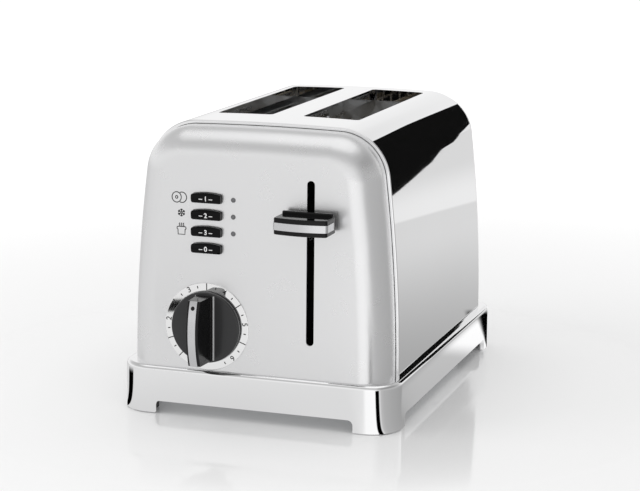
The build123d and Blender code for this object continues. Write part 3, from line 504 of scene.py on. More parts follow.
class Finishes:
    """Every finish of the toaster, made once.

    A finish is kept by its slot in the record, or by the one piece that has it as its own.
    """

    def __init__(self) -> None:
        """Makes the finishes."""
        deep_black = (0.003, 0.003, 0.0033)
        recipes = [
            MirrorMetal("polished_steel", (0.86, 0.86, 0.865), roughness=0.012, haze=0.018,
                        ripple=0.00003, grain=Grain.ALONG_Y),
            PearlLacquer("pearl_panel", (0.78, 0.78, 0.785), roughness=0.28),
            MirrorMetal("skirt_chrome", (0.87, 0.87, 0.875), roughness=0.03, haze=0.03),
            MirrorMetal("trim_chrome", (0.62, 0.62, 0.63), roughness=0.14, haze=0.06,
                        ripple=0.000004, grain=Grain.ALONG_X),
            MirrorMetal("dial_bright", (0.88, 0.88, 0.88), roughness=0.035, haze=0.012,
                        ripple=0.000004),
            Moulding("black_gloss", deep_black, roughness=0.06, texture=0.02, sheen=0.11),
            Moulding("black_satin", (0.014, 0.014, 0.0145), roughness=0.24, texture=0.05,
                     sheen=0.35),
            SoftRubber("rubber", (0.03, 0.03, 0.03)),
            ZincSheet("galvanised", (0.60, 0.61, 0.62)),
            MicaBoard("mica", (0.56, 0.49, 0.38)),
            HotRibbon("nichrome", (0.36, 0.33, 0.30)),
            ZincSheet("guide_wire", (0.66, 0.66, 0.66), roughness=0.26, spangle=900.0,
                      grain=Grain.ALONG_Z),
            CircuitBoard("board_green", (0.05, 0.20, 0.09)),
            SmokedLens("lamp_lens", (0.22, 0.22, 0.23)),
            ZincSheet("screw_steel", (0.66, 0.66, 0.68), roughness=0.28, spangle=1400.0,
                      grain=Grain.NONE),
            HotRibbon("copper_coil", (0.60, 0.30, 0.14)),
            Moulding("blackened_steel", (0.012, 0.012, 0.012), roughness=0.6, texture=0.3,
                     sheen=0.3),
        ]
        self.by_slot = {recipe.name: recipe.make() for recipe in recipes}
        self.by_piece = {
            # The knob's finish carries a painted highlight along the grip's foot.
            "turned_knob": KnobMoulding(
                "knob_black", disc=(0.034, 0.034, 0.035), grip=deep_black,
                foot=(0.30, 0.30, 0.30), disc_face=-0.1195).make(),
            "lever_grip": Moulding("lever_black", deep_black, roughness=0.06, texture=0.02,
                                   sheen=0.21).make()}
        self.black_ink = PrintedInk("black_ink", (0.02, 0.02, 0.02)).make()
        self.white_ink = PrintedInk("white_ink", (0.82, 0.82, 0.82)).make()

    def dress(self, piece: Object, slot: str) -> None:
        """Gives a piece the finish of a slot, and reports it.

        Args:
            piece: Mesh object to dress.
            slot: Material slot of the record.
        """
        piece.data.materials.clear()
        piece.data.materials.append(self.by_slot[slot])
        LOG.info("%s wears %s", piece.name, slot)

    def skin(self, node: str, name: str, slot: str, crease_degrees: float = 40.0) -> None:
        """Makes and dresses the smooth piece that stands for a CAD node.

        Args:
            node: CAD node to copy.
            name: Name of the piece.
            slot: Material slot of the record.
            crease_degrees: Angle between faces above which an edge stays sharp.
        """
        piece = smooth_skin(node, name, crease_degrees)
        self.dress(piece, slot)
        if name in self.by_piece:
            piece.data.materials[0] = self.by_piece[name]


class TreeBuilder(NodeMaker):
    """Builds one Geometry Nodes tree with named inputs."""

    def __init__(self, name: str, inputs: dict[str, object]) -> None:
        """Starts the tree.

        Args:
            name: Name of the tree.
            inputs: Input names with their default values.
        """
        super().__init__(bpy.data.node_groups.new(name, "GeometryNodeTree"))
        face = self.tree.interface
        face.new_socket("Geometry", in_out="INPUT", socket_type="NodeSocketGeometry")
        self.sockets: dict[str, str] = {}
        for key, value in inputs.items():
            kind = {int: "NodeSocketInt", float: "NodeSocketFloat"}.get(
                type(value), "NodeSocketMaterial")
            socket = face.new_socket(key, in_out="INPUT", socket_type=kind)
            self.sockets[key] = socket.identifier
        face.new_socket("Geometry", in_out="OUTPUT", socket_type="NodeSocketGeometry")
        self.given = self.add("NodeGroupInput").outputs
        self.sink = self.add("NodeGroupOutput")
        self.values = dict(inputs)

    def finish(self, geometry: NodeSocket) -> None:
        """Realizes the copies, sets their material and ends the tree.

        Args:
            geometry: Socket with the geometry.
        """
        real = self.add("GeometryNodeRealizeInstances", {"Geometry": geometry})
        coat = self.add("GeometryNodeSetMaterial", {
            "Geometry": real.outputs["Geometry"], "Material": self.given["Material"]})
        self.feed(coat.outputs["Geometry"], self.sink, "Geometry")

    def sweep(self, line: NodeSocket, profile: NodeSocket) -> None:
        """Sweeps a profile along a line, with capped ends, and ends the tree."""
        swept = self.add("GeometryNodeCurveToMesh", {"Curve": line, "Profile Curve": profile,
                                                     "Fill Caps": True})
        self.finish(swept.outputs["Mesh"])

    def run(self, name: str, base: Mesh, **values: object) -> Object:
        """Runs the tree on a mesh and returns the result as a plain mesh object.

        Args:
            name: Name of the piece.
            base: Mesh that the tree starts from.
            **values: Inputs by name, with underscores for spaces.

        Returns:
            The piece, linked into the scene.
        """
        carrier = bpy.data.objects.new(name + "_carrier", base)
        modifier = carrier.modifiers.new(name, "NODES")
        modifier.node_group = self.tree
        chosen = {key.replace("_", " "): value for key, value in values.items()}
        for key, value in {**self.values, **chosen}.items():
            modifier[self.sockets[key]] = value
        return settle(name, carrier)


def add_piece(name: str, mesh: Mesh) -> Object:
    """Links a mesh into the scene as a piece at the origin.

    Args:
        name: Name of the piece.
        mesh: Its mesh, with its place in it.

    Returns:
        The new object.
    """
    mesh.name = name
    piece = bpy.data.objects.new(name, mesh)
    bpy.context.scene.collection.objects.link(piece)
    return piece


def settle(name: str, carrier: Object) -> Object:
    """Turns an object with a modifier or with type into a piece with a plain mesh.

    Args:
        name: Name of the piece.
        carrier: Object that isn't in the scene yet, and is removed afterwards.

    Returns:
        The piece, linked into the scene.
    """
    bpy.context.scene.collection.objects.link(carrier)
    bpy.context.view_layer.update()
    graph = bpy.context.evaluated_depsgraph_get()
    mesh = bpy.data.meshes.new_from_object(carrier.evaluated_get(graph))
    carrier.modifiers.clear()
    bpy.data.objects.remove(carrier)
    return add_piece(name, mesh)


def wire_mesh(points: list[Triple], edges: list[tuple[int, int]]) -> Mesh:
    """Makes a mesh of points and edges for a tree to start from.

    Args:
        points: Places of the points.
        edges: Pairs of point numbers.

    Returns:
        The mesh.
    """
    mesh = bpy.data.meshes.new("wire")
    mesh.from_pydata(points, edges, [])
    return mesh


def smooth_skin(node: str, name: str, crease_degrees: float) -> Object:
    """Copies a CAD node into a merged, smoothly shaded piece that stands for it.

    Args:
        node: CAD node to copy.
        name: Name of the piece.
        crease_degrees: Angle between faces above which an edge stays sharp.

    Returns:
        The piece, which rides on the node's body and replaces it.
    """
    source = frame["nodes"][node]
    skin = bmesh.new()
    skin.from_mesh(source.data)
    bmesh.ops.remove_doubles(skin, verts=skin.verts, dist=MERGE_REACH)
    bmesh.ops.dissolve_degenerate(skin, edges=skin.edges, dist=THINNEST_EDGE)
    limit = math.radians(crease_degrees)
    for face in skin.faces:
        face.smooth = True
    for edge in skin.edges:
        edge.smooth = len(edge.link_faces) == 2 and edge.calc_face_angle(math.pi) < limit
    mesh = bpy.data.meshes.new(name)
    skin.to_mesh(mesh)
    skin.free()
    piece = add_piece(name, mesh)
    weigh = piece.modifiers.new("even_shading", "WEIGHTED_NORMAL")
    weigh.keep_sharp = True
    weigh.weight = 100
    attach(piece, source["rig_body"])
    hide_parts(node)
    return piece


def fix(piece: Object, body: str) -> None:
    """Fixes a printed or wound piece to a body, and reports it.

    Args:
        piece: The piece, in its place.
        body: Body that it rides on.
    """
    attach(piece, body)
    LOG.info("%s rides on %s", piece.name, body)


def figures(name: str, text: str, size: float, depth: float, weight: float) -> Object:
    """Makes raised figures in the XY plane, facing +Z, as a plain mesh.

    Args:
        name: Name of the piece.
        text: Figures or plain marks to set.
        size: Height of the type in metres.
        depth: How far the figures stand up, in metres.
        weight: How far the strokes are thickened, in metres.

    Returns:
        The piece, not yet placed.
    """
    curve = bpy.data.curves.new(name + "_type", "FONT")
    curve.body = text
    curve.size = size
    curve.align_x = "CENTER"
    curve.align_y = "CENTER"
    curve.extrude = depth / 2
    curve.offset = weight
    return settle(name, bpy.data.objects.new(name + "_type", curve))


def cut_bands(mesh: Mesh, step: float, reach: float) -> None:
    """Cuts a mesh across at even heights, so that it can follow a curved face.

    Args:
        mesh: Mesh to cut.
        step: Height between two cuts.
        reach: Largest height above and below the middle.
    """
    shape = bmesh.new()
    shape.from_mesh(mesh)
    height = -reach
    while height < reach:
        bmesh.ops.bisect_plane(shape, geom=shape.verts[:] + shape.edges[:] + shape.faces[:],
                               plane_co=(0, 0, height), plane_no=(0, 0, 1))
        height += step
    shape.to_mesh(mesh)
    shape.free()


def arc_points(x: float, rx: float, ry: float, count: int, start: float = 0.0,
               sweep: float = 360.0) -> list[Triple]:
    """Sets out points along an ellipse in the XY plane, with its middle on the X axis.

    Args:
        x: Middle of the ellipse.
        rx: Half of its size along X.
        ry: Half of its size along Y.
        count: Number of points.
        start: Angle of the first point in degrees.
        sweep: Angle from the first point to the last, or 360 for a path that closes.

    Returns:
        The points in order.
    """
    steps = count if sweep == 360.0 else count - 1
    angles = [math.radians(start + sweep * i / steps) for i in range(count)]
    return [(x + rx * math.cos(a), ry * math.sin(a), 0.0) for a in angles]


def on_each_side(part: str) -> list[str]:
    """Returns the nodes of a part of the four heaters, from left to right."""
    return [f"{side}_{part}" for side in ("left_outer", "left_inner", "right_inner",
                                          "right_outer")]


@dataclass
class Assembly:
    """Pieces of one sub-assembly that come straight from CAD nodes.

    Skins are rows of a node, its piece and its slot. Plain rows are a slot and its nodes.
    """

    finishes: Finishes
    skins: Skins = ()
    plain: Plain = ()
    crease_degrees: float = 40.0

    def build(self) -> None:
        """Makes the smooth skins and dresses the plain nodes."""
        for row in self.skins:
            self.finishes.skin(*row, self.crease_degrees)
        for slot, *nodes in self.plain:
            for node in nodes:
                self.finishes.dress(frame["nodes"][node], slot)


@dataclass
class Housing(Assembly):
    """Shell, end cups, skirt and what is fixed to them."""

    skins: Skins = (
        ("outer_shell", "wrapped_shell", "polished_steel"),
        ("base_skirt", "arched_skirt", "skirt_chrome"),
        ("front_panel", "front_cup", "pearl_panel"),
        ("rear_panel", "rear_cup", "pearl_panel"),
        ("cord_gland", "lead_gland", "black_satin"),
        ("rubber_feet", "soft_feet", "rubber"))
    plain: Plain = (
        ("galvanised", "floor_pan", "rear_chassis_plate"),
        ("blackened_steel", "front_chassis_plate"),
        ("screw_steel", "floor_screws", "front_panel_screws", "rear_panel_screws"))


@dataclass
class Dial(Assembly):
    """Bright ring round the knob, with its ticks and figures."""

    skins: Skins = (("dial_ring", "bright_ring", "dial_bright"),)
    centre_x: float = CONTROLS_X
    centre_z: float = 0.0599
    face_y: float = -0.1160
    middle: float = 0.0257
    figure_height: float = 0.0051
    figure_weight: float = 0.00005
    figure_count: int = 6
    first_angle: float = -137.5
    angle_step: float = 55.0
    long_tick: Pair = (0.00060, 0.0044)
    long_start: float = -110.0
    long_count: int = 5
    short_tick: Pair = (0.00065, 0.0016)
    short_start: float = -151.25
    short_count: int = 12

    def tick_tree(self) -> TreeBuilder:
        """Builds the tree that repeats a printed tick round the dial's centre.

        Returns:
            The tree, which works in the XY plane and faces +Z.
        """
        builder = TreeBuilder("dial_ticks", {
            "Count": 5, "Start": 0.0, "Step": 0.0, "Radius": 0.0, "Length": 0.0,
            "Width": 0.0, "Depth": 0.0, "Material": None})
        given = builder.given
        places = builder.add("GeometryNodePoints", {"Count": given["Count"]})
        index = builder.add("GeometryNodeInputIndex").outputs["Index"]
        turn = builder.sum("ADD", builder.product(index, given["Step"]), given["Start"])
        across = builder.product(builder.sum("SINE", turn), given["Radius"])
        up = builder.product(builder.sum("COSINE", turn), given["Radius"])
        where = builder.add("ShaderNodeCombineXYZ", {"X": across, "Y": up})
        moved = builder.add("GeometryNodeSetPosition", {
            "Geometry": places.outputs[0], "Position": where.outputs["Vector"]})
        size = builder.add("ShaderNodeCombineXYZ", {
            "X": given["Width"], "Y": given["Length"], "Z": given["Depth"]})
        bar = builder.add("GeometryNodeMeshCube", {"Size": size.outputs["Vector"]})
        spin = builder.add("ShaderNodeCombineXYZ", {"Z": builder.product(turn, -1.0)})
        copies = builder.add("GeometryNodeInstanceOnPoints", {
            "Points": moved.outputs["Geometry"], "Instance": bar.outputs["Mesh"],
            "Rotation": spin.outputs["Vector"]})
        builder.finish(copies.outputs["Instances"])
        return builder

    def build(self) -> None:
        """Makes the ring, its ticks and its figures."""
        super().build()
        on_dial = Matrix.Translation((self.centre_x, self.face_y, self.centre_z)) @ INTO_PANEL
        ticks = self.tick_tree()
        for name, count, start, step, (width, length) in (
                ("dial_long_ticks", self.long_count, self.long_start, self.angle_step,
                 self.long_tick),
                ("dial_short_ticks", self.short_count, self.short_start, self.angle_step / 2,
                 self.short_tick)):
            piece = ticks.run(name, wire_mesh([(0, 0, 0)], []), Count=count,
                              Start=math.radians(start), Step=math.radians(step),
                              Radius=self.middle, Length=length, Width=width,
                              Depth=2 * PRINT_DEPTH, Material=self.finishes.black_ink)
            piece.data.transform(on_dial)
            fix(piece, "housing")
        for number in range(1, self.figure_count + 1):
            piece = figures(f"dial_figure_{number}", str(number), self.figure_height,
                            2 * PRINT_DEPTH, self.figure_weight)
            turn = math.radians(self.first_angle + (number - 1) * self.angle_step)
            place = Matrix.Translation((self.middle * math.sin(turn),
                                        self.middle * math.cos(turn), 0))
            piece.data.transform(on_dial @ place @ Matrix.Rotation(-turn, 4, "Z"))
            piece.data.materials.append(self.finishes.black_ink)
            fix(piece, "housing")


@dataclass
class Knob(Assembly):
    """Browning knob with its bright strip."""

    skins: Skins = (
        ("browning_knob", "turned_knob", "black_satin"),
        ("knob_strip", "pointer_strip", "trim_chrome"))
    crease_degrees: float = 30.0


@dataclass
class ButtonBank(Assembly):
    """Four push buttons with plain marks, their signs and the signal lamps."""

    skins: Skins = (("lamp_lenses", "lens_caps", "lamp_lens"),)
    plain: Plain = (("black_satin", "push_switches"),)
    centre_x: float = CONTROLS_X
    panel_y: float = -0.1150
    proud: float = 0.0020
    crown: float = 0.0010
    height: float = 0.0055
    arch: float = 0.0011
    top_z: float = 0.1418
    pitch: float = 0.01065
    mark_size: float = 0.0043
    mark_weight: float = 0.0001
    mark_bands: int = 12
    sign_x: float = -0.0502
    sign_stroke: float = 0.00062
    sign_shifts: tuple[Pair, ...] = ((0.3, -0.3), (1.6, 0.6), (1.6, 0.8))
    nodes: tuple[str, ...] = ("first_button", "second_button", "third_button", "stop_button")
    bodies: tuple[str, ...] = ("button_one", "button_two", "button_three", "button_stop")
    marks: tuple[str, ...] = ("– 1 –", "– 2 –", "– 3 –", "– 0 –")

    def crown_y(self, rise: float) -> float:
        """Finds the face of a button's crown at a height above its middle.

        Args:
            rise: Height above the button's middle.

        Returns:
            The y of the face there.
        """
        half = (self.height + self.arch) / 2
        radius = (half ** 2 + self.crown ** 2) / (2 * self.crown)
        return self.panel_y - self.proud - self.crown + radius - math.sqrt(
            radius ** 2 - (rise - self.arch / 2) ** 2)

    def build(self) -> None:
        """Makes the buttons, their marks, the signs and the lamps."""
        for step, (node, body, mark) in enumerate(zip(self.nodes, self.bodies, self.marks)):
            middle_z = self.top_z - step * self.pitch
            self.finishes.skin(node, node + "_cap", "black_gloss")
            piece = figures(node + "_mark", mark, self.mark_size, PRINT_DEPTH,
                            self.mark_weight)
            piece.data.transform(INTO_PANEL)
            cut_bands(piece.data, self.mark_size / self.mark_bands, self.mark_size)
            for vertex in piece.data.vertices:
                vertex.co.y += self.crown_y(vertex.co.z)
            piece.data.transform(Matrix.Translation((self.centre_x, 0, middle_z)))
            piece.data.materials.append(self.finishes.white_ink)
            fix(piece, body)
        self.build_signs()
        super().build()

    def stroke_tree(self) -> TreeBuilder:
        """Builds the tree that turns edges into flat printed strokes.

        Returns:
            The tree, with Width, Thickness and Material inputs.
        """
        builder = TreeBuilder("printed_stroke", {"Width": 0.0004, "Thickness": 0.00006,
                                                 "Material": None})
        lines = builder.add("GeometryNodeMeshToCurve", {"Mesh": builder.given["Geometry"]})
        upright = builder.add("GeometryNodeSetCurveNormal", {"Curve": lines.outputs["Curve"]},
                              mode="Z_UP")
        section = builder.add("GeometryNodeCurvePrimitiveQuadrilateral", {
            "Width": builder.given["Width"], "Height": builder.given["Thickness"]})
        builder.sweep(upright.outputs["Curve"], section.outputs["Curve"])
        return builder

    def roll_paths(self) -> list[Path]:
        """Returns the paths of a cut roll in millimetres, each with whether it closes."""
        return [(arc_points(-1.9, 3.1, 3.3, 28), True),
                (arc_points(1.7, 3.1, 3.3, 24, -118, 236), False),
                (arc_points(-1.9, 0.8, 0.9, 10), True)]

    def frost_paths(self) -> list[Path]:
        """Returns the six feathered arms of a flake in millimetres, as open paths."""
        paths = []
        for turn in range(6):
            angle = math.radians(60 * turn + 30)
            along = Vector((math.cos(angle), math.sin(angle), 0))
            side = Vector((-along.y, along.x, 0)) * 0.75
            paths.append(([tuple(along * 0.2), tuple(along * 2.5)], False))
            paths += [([tuple(along * 1.35), tuple(along * 2.2 + side * sign)], False)
                      for sign in (-1, 1)]
        return paths

    def slice_paths(self) -> list[Path]:
        """Returns a slice of bread and its steam in millimetres."""
        right = [(2.3, -3.4), (2.4, -0.3), (3.1, 0.3), (2.9, 1.3), (2.0, 1.6)]
        left = [(-x, y) for x, y in reversed(right)]
        steam = [([(x + 0.35 * math.sin(1.9 * k), 1.9 + 0.5 * k, 0.0) for k in range(5)], False)
                 for x in (-1.3, 0.0, 1.3)]
        return [([(x, y, 0.0) for x, y in right + left], True), *steam]

    def build_signs(self) -> None:
        """Prints a plain sign beside each of the upper three buttons."""
        stroke = self.stroke_tree()
        on_panel = Matrix.Translation((self.sign_x, self.panel_y, 0)) @ INTO_PANEL
        for step, (name, paths, (shift, rise)) in enumerate(zip(
                ("sign_rings", "sign_frost", "sign_slice"),
                (self.roll_paths(), self.frost_paths(), self.slice_paths()),
                self.sign_shifts)):
            points, edges = [], []
            for path, closed in paths:
                first = len(points)
                points += [tuple(value * MM for value in point) for point in path]
                edges += [(first + i, first + i + 1) for i in range(len(path) - 1)]
                if closed:
                    edges.append((len(points) - 1, first))
            piece = stroke.run(name, wire_mesh(points, edges), Width=self.sign_stroke,
                               Thickness=PRINT_DEPTH, Material=self.finishes.black_ink)
            height = self.top_z - step * self.pitch + rise * MM
            piece.data.transform(Matrix.Translation((shift * MM, 0, height)) @ on_panel)
            fix(piece, "housing")


@dataclass
class LiftLever(Assembly):
    """Lever handle, its band and the carriage behind it."""

    skins: Skins = (
        ("lever_handle", "lever_grip", "black_gloss"),
        ("lever_band", "bright_band", "trim_chrome"))
    plain: Plain = (
        ("blackened_steel", "lever_arm", "carriage_bracket"),
        ("galvanised", "armature", "left_bread_rack", "right_bread_rack"))


@dataclass
class Mechanism(Assembly):
    """Rod, spring, magnet and the electrical pieces inside the cups."""

    plain: Plain = (
        ("screw_steel", "guide_rod"),
        ("copper_coil", "holding_magnet"),
        ("black_satin", "rotary_control", "terminal_block"),
        ("board_green", "control_board"))
    rod_x: float = 0.0060
    rod_y: float = -0.0900
    spring_low: float = 0.0150
    spring_high: float = 0.1077
    spring_radius: float = 0.0038
    wire_radius: float = 0.0005
    coils: float = 22.0
    points_a_coil: int = 20
    points_round_wire: int = 8

    def spring_tree(self) -> TreeBuilder:
        """Builds the tree that winds a wire spring up the Z axis.

        Returns:
            The tree, with sizes and Material inputs.
        """
        builder = TreeBuilder("wound_spring", {
            "Coils": 10.0, "Radius": 0.004, "Height": 0.1, "Wire Radius": 0.0005,
            "Material": None})
        given = builder.given
        line = builder.add("GeometryNodeCurveSpiral", {
            "Resolution": self.points_a_coil, "Rotations": given["Coils"],
            "Start Radius": given["Radius"], "End Radius": given["Radius"],
            "Height": given["Height"]})
        section = builder.add("GeometryNodeCurvePrimitiveCircle", {
            "Resolution": self.points_round_wire, "Radius": given["Wire Radius"]})
        builder.sweep(line.outputs["Curve"], section.outputs["Curve"])
        return builder

    def build(self) -> None:
        """Makes the spring and dresses the rest."""
        spring = self.spring_tree().run(
            "wound_spring", wire_mesh([(0, 0, 0)], []), Coils=self.coils,
            Radius=self.spring_radius, Height=self.spring_high - self.spring_low,
            Wire_Radius=self.wire_radius, Material=self.finishes.by_slot["screw_steel"])
        spring.data.transform(Matrix.Translation((self.rod_x, self.rod_y, self.spring_low)))
        fix(spring, "housing")
        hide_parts("lift_spring")
        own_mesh(spring)
        super().build()


@dataclass
class ToastingChamber(Assembly):
    """Reflectors, mica boards, ribbons and bread guides."""

    plain: Plain = (
        ("mica", *on_each_side("mica")),
        ("nichrome", *on_each_side("winding")),
        ("guide_wire", *on_each_side("guide")),
        ("galvanised", "left_reflector", "right_reflector"))


@dataclass
class CrumbTray(Assembly):
    """Tray that slides out at the rear, with its moulded grip."""

    skins: Skins = (("tray_grip", "tray_pull", "black_satin"),)
    plain: Plain = (("galvanised", "crumb_tray"),)


@dataclass(frozen=True)
class Flag:
    """Narrow black flag that lies on the floor and points away from a corner."""

    corner: Pair
    edges: Pair
    reach: float
    softness: float = 1.5


@dataclass
class FloorSheet:
    """Pale acrylic floor, and the flags and bounce boards that mirrors see in it.

    Turns are in degrees about a corner of the skirt, from -Y towards +X. A fade holds the
    places where it starts and ends, and its levels there.
    """

    colour: Triple = (0.88, 0.88, 0.88)
    roughness: Pair = (0.06, 0.09)
    front_corner: Pair = (0.0765, -0.102)
    brightest: float = 1.25
    boards: tuple[Pair, ...] = (
        (-180, 0.66), (-120, 0.66), (-90, 0.80), (-45, 0.88), (-22, 0.90), (-13, 1.02),
        (-3, 1.22), (26, 1.25), (38, 1.20), (50, 0.62), (60, 0.54), (90, 0.48), (140, 0.42),
        (180, 0.42))
    boards_fade: Fade = ((0.10, 0.25), (0.90, 1.0))
    side_turns: Pair = (135.0, 165.0)
    side_lean: float = 0.5
    side_fade: Fade = ((-0.10, 0.85), (0.38, 0.77))
    side_board_starts: Pair = (1.02, 1.06)
    side_board_fade: Fade = ((1.75, 1.15), (0.0, 0.16))
    close_to_skirt: Pair = (0.125, 0.116)
    close_fade: Fade = ((0.085, 0.135), (0.14, 0.62))
    flags: tuple[Flag, ...] = (
        Flag((0.0765, -0.102), (30.0, 43.0), 0.27),
        Flag((-0.0765, -0.102), (-104.0, -73.0), 0.10),
        Flag((0.092, 0.124), (162.0, 184.0), 0.108))
    flag_tail: float = 1.2
    dark_disc: Pair = (-0.173, -0.402)
    disc_edge: Pair = (0.020, 0.024)
    gloss_fade: Fade = ((0.16, 0.26), (0.5, 0.0))
    lift_fade: Fade = ((0.25, 1.2), (0.0, 0.32))

    def __post_init__(self) -> None:
        """Starts the floor's shader tree."""
        self.tree = ShaderTree("floor_acrylic")
        axes = self.tree.axes().outputs
        self.x, self.y = axes["X"], axes["Y"]

    def place_about(self, corner: Pair) -> tuple[NodeSocket, NodeSocket]:
        """Finds where a floor place lies as seen from a corner.

        Args:
            corner: X and Y of the corner.

        Returns:
            The place's turn about the corner, and its distance.
        """
        tree = self.tree
        across = tree.sum("SUBTRACT", self.x, corner[0])
        ahead = tree.sum("SUBTRACT", corner[1], self.y)
        turn = tree.product(tree.sum("ARCTAN2", across, ahead), math.degrees(1.0))
        squares = tree.sum("ADD", tree.product(across, across), tree.product(ahead, ahead))
        return turn, tree.sum("SQRT", squares)

    def unflagged(self, flag: Flag) -> NodeSocket:
        """Makes the factor that darkens the floor under a flag.

        Args:
            flag: The flag.

        Returns:
            The factor, 0 on the flag and 1 off it.
        """
        tree = self.tree
        turn, span = self.place_about(flag.corner)
        start, end = flag.edges
        soft = flag.softness
        inside = tree.product(tree.fade(turn, (start - soft, start + soft)),
                              tree.fade(turn, (end + soft, end - soft)),
                              tree.fade(span, (flag.reach * self.flag_tail, flag.reach)))
        return tree.sum("SUBTRACT", 1.0, inside)

    def beside(self) -> NodeSocket:
        """Returns the brightness that the shell's right side sees on the floor."""
        tree = self.tree
        along = tree.sum("ADD", self.y, tree.product(self.x, self.side_lean))
        slope = tree.fade(along, *self.side_fade)
        board = tree.product(tree.fade(along, self.side_board_starts),
                             tree.fade(along, *self.side_board_fade))
        close = tree.product(tree.fade(self.x, self.close_to_skirt),
                             tree.fade(self.y, *self.close_fade))
        return tree.sum("ADD", tree.sum("ADD", slope, board), close)

    def mirrored(self) -> NodeSocket:
        """Returns the brightness that mirror-like faces see on the floor."""
        tree = self.tree
        turn, span = self.place_about(self.front_corner)
        round_corner = tree.ramp(tree.sum("ADD", tree.sum("DIVIDE", turn, 360.0), 0.5), [
            (angle / 360 + 0.5, (level / self.brightest,) * 3) for angle, level in self.boards])
        around = tree.product(round_corner, self.brightest, tree.fade(span, *self.boards_fade))
        share = tree.fade(turn, self.side_turns)
        level = tree.sum("ADD", tree.product(around, tree.sum("SUBTRACT", 1.0, share)),
                         tree.product(self.beside(), share))
        for flag in self.flags:
            level = tree.product(level, self.unflagged(flag))
        span = self.place_about(self.dark_disc)[1]
        return tree.product(level, tree.fade(span, self.disc_edge))

    def make(self) -> Material:
        """Returns the floor's material, with what each kind of ray sees of it."""
        tree = self.tree
        tree.set(Base_Color=(*self.colour, 1.0), IOR=1.5)
        tree.roughen(tree.noise(scale=6.0, detail=2.0), *self.roughness)
        away = self.place_about((0.0, 0.0))[1]
        tree.set(Specular_IOR_Level=tree.fade(away, *self.gloss_fade))
        path = tree.add("ShaderNodeLightPath").outputs
        seen = tree.add("ShaderNodeEmission", {"Strength": self.mirrored()})
        either = tree.add("ShaderNodeMixShader", {
            "Fac": path["Is Glossy Ray"], 1: tree.surface.outputs["BSDF"],
            2: seen.outputs["Emission"]})
        lift = tree.product(tree.fade(away, *self.lift_fade), path["Is Camera Ray"])
        white = tree.add("ShaderNodeEmission", {"Strength": lift})
        both = tree.add("ShaderNodeAddShader", {0: either.outputs["Shader"],
                                                1: white.outputs["Emission"]})
        tree.feed(both.outputs["Shader"], tree.output, "Surface")
        return tree.material


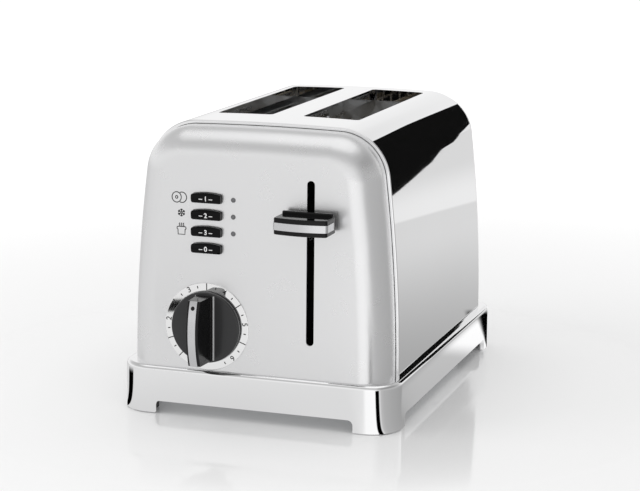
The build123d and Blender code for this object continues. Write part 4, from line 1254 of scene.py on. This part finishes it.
@dataclass
class Studio:
    """Floor, soft light, reflected card and the camera."""

    camera_place: Triple = (0.4263, -1.2695, 0.3619)
    camera_right: Triple = (0.9484, 0.3168, 0.0096)
    camera_up: Triple = (-0.0714, 0.1840, 0.9803)
    camera_back: Triple = (0.3088, -0.9305, 0.1971)
    lens: float = 113.6
    sensor: float = 36.0
    floor_half: float = 9.0
    card_shade: float = 0.006
    card_outline: tuple[Triple, ...] = (
        (0.370, 0.7, 0.040), (0.330, 0.7, 0.062), (0.290, 0.7, 0.088),
        (0.266, 0.7, 0.114), (0.262, 0.7, 0.155), (0.240, 0.7, 0.210), (0.125, 0.7, 0.335),
        (0.125, 0.7, 0.400), (0.165, 0.7, 0.460), (0.370, 0.7, 0.460))
    even_light: float = 0.82
    sky: tuple[Pair, ...] = (
        (0.00, 0.88), (0.12, 0.98), (0.28, 0.94), (0.48, 0.62), (0.76, 0.52), (0.86, 0.84),
        (0.92, 1.10), (1.00, 1.10))
    sky_brightest: float = 1.2
    dim_from: Pair = (0.35, 0.75)
    dim_side: float = 0.55
    lamp_power: float = 6.0

    def build(self) -> None:
        """Makes the whole studio."""
        self.build_camera()
        self.build_world()
        self.build_floor()
        self.build_card()
        self.build_lamp("top_softbox", place=(0.0, -0.1, 1.5), turn=(0, 0, 0), size=1.6)
        self.build_lamp("left_softbox", place=(-1.6, -0.9, 0.9), turn=(60, 0, -60), size=1.2)
        LOG.info("studio ready")

    def build_camera(self) -> None:
        """Places the camera at the photograph's viewing angle."""
        data = bpy.data.cameras.new("camera")
        data.sensor_fit = "HORIZONTAL"
        data.sensor_width = self.sensor
        data.lens = self.lens
        data.clip_start = 0.01
        data.clip_end = 60.0
        camera = bpy.data.objects.new("camera", data)
        bpy.context.scene.collection.objects.link(camera)
        turn = Matrix((self.camera_right, self.camera_up, self.camera_back)).transposed()
        camera.matrix_world = Matrix.Translation(self.camera_place) @ turn.to_4x4()
        bpy.context.scene.camera = camera

    def build_world(self) -> None:
        """Makes the surround: even light, graded in mirrors and white to the camera."""
        world = bpy.data.worlds.new("surround")
        bpy.context.scene.world = world
        world.use_nodes = True
        maker = NodeMaker(world.node_tree)
        maker.tree.nodes.clear()
        path = maker.add("ShaderNodeLightPath").outputs
        view = maker.add("ShaderNodeTexCoord").outputs["Generated"]
        axes = maker.add("ShaderNodeSeparateXYZ", {"Vector": view}).outputs
        sky = maker.ramp(axes["Z"], [(height, (level / self.sky_brightest,) * 3)
                                     for height, level in self.sky])
        side = maker.fade(axes["X"], self.dim_from, (1.0, self.dim_side), smooth=False)
        shader = maker.add("ShaderNodeBackground", {"Color": WHITE,
                                                    "Strength": self.even_light}).outputs[0]
        for ray, colour, strength in (
                ("Is Glossy Ray", sky, maker.product(side, self.sky_brightest)),
                ("Is Camera Ray", WHITE, 1.0)):
            shown = maker.add("ShaderNodeBackground", {"Color": colour, "Strength": strength})
            shader = maker.add("ShaderNodeMixShader", {
                "Fac": path[ray], 1: shader, 2: shown.outputs[0]}).outputs[0]
        maker.add("ShaderNodeOutputWorld", {"Surface": shader})

    def build_floor(self) -> None:
        """Lays the large pale floor."""
        mesh = bpy.data.meshes.new("floor")
        half = self.floor_half
        mesh.from_pydata([(-half, -half, 0), (half, -half, 0), (half, half, 0), (-half, half, 0)],
                         [], [(0, 1, 2, 3)])
        floor = add_piece("floor", mesh)
        mesh.materials.append(FloorSheet().make())

    def build_card(self) -> None:
        """Hangs a black card behind the toaster that only reflections see."""
        mesh = bpy.data.meshes.new("black_card")
        mesh.from_pydata(self.card_outline, [], [tuple(range(len(self.card_outline)))])
        card = add_piece("black_card", mesh)
        tree = ShaderTree("card_black")
        tree.set(Base_Color=(*(self.card_shade,) * 3, 1.0), Roughness=0.9,
                 Specular_IOR_Level=0.0)
        mesh.materials.append(tree.material)
        card.visible_camera = False
        card.visible_diffuse = False
        card.visible_shadow = False
        card.visible_transmission = False

    def build_lamp(self, name: str, place: Triple, turn: Triple, size: float) -> None:
        """Adds a square soft lamp that points down its own -Z.

        Args:
            name: Name of the lamp.
            place: Its middle.
            turn: Turn about X, Y and Z in degrees.
            size: Length of its side.
        """
        data = bpy.data.lights.new(name, "AREA")
        data.shape = "SQUARE"
        data.size = size
        data.energy = self.lamp_power
        lamp = bpy.data.objects.new(name, data)
        bpy.context.scene.collection.objects.link(lamp)
        lamp.location = place
        lamp.rotation_euler = [math.radians(angle) for angle in turn]
        lamp.visible_camera = False
        lamp.visible_glossy = False


def main() -> None:
    """Builds every sub-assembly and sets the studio."""
    logging.basicConfig(level=logging.INFO, format="%(name)s: %(message)s")
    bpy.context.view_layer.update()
    finishes = Finishes()
    for part in (Housing, Dial, Knob, ButtonBank, LiftLever, Mechanism, ToastingChamber,
                 CrumbTray):
        part(finishes).build()
        LOG.info("%s built", part.__name__)
    Studio().build()
    scene = bpy.context.scene
    scene.view_settings.view_transform = "Standard"


if __name__ == "__main__":
    main()
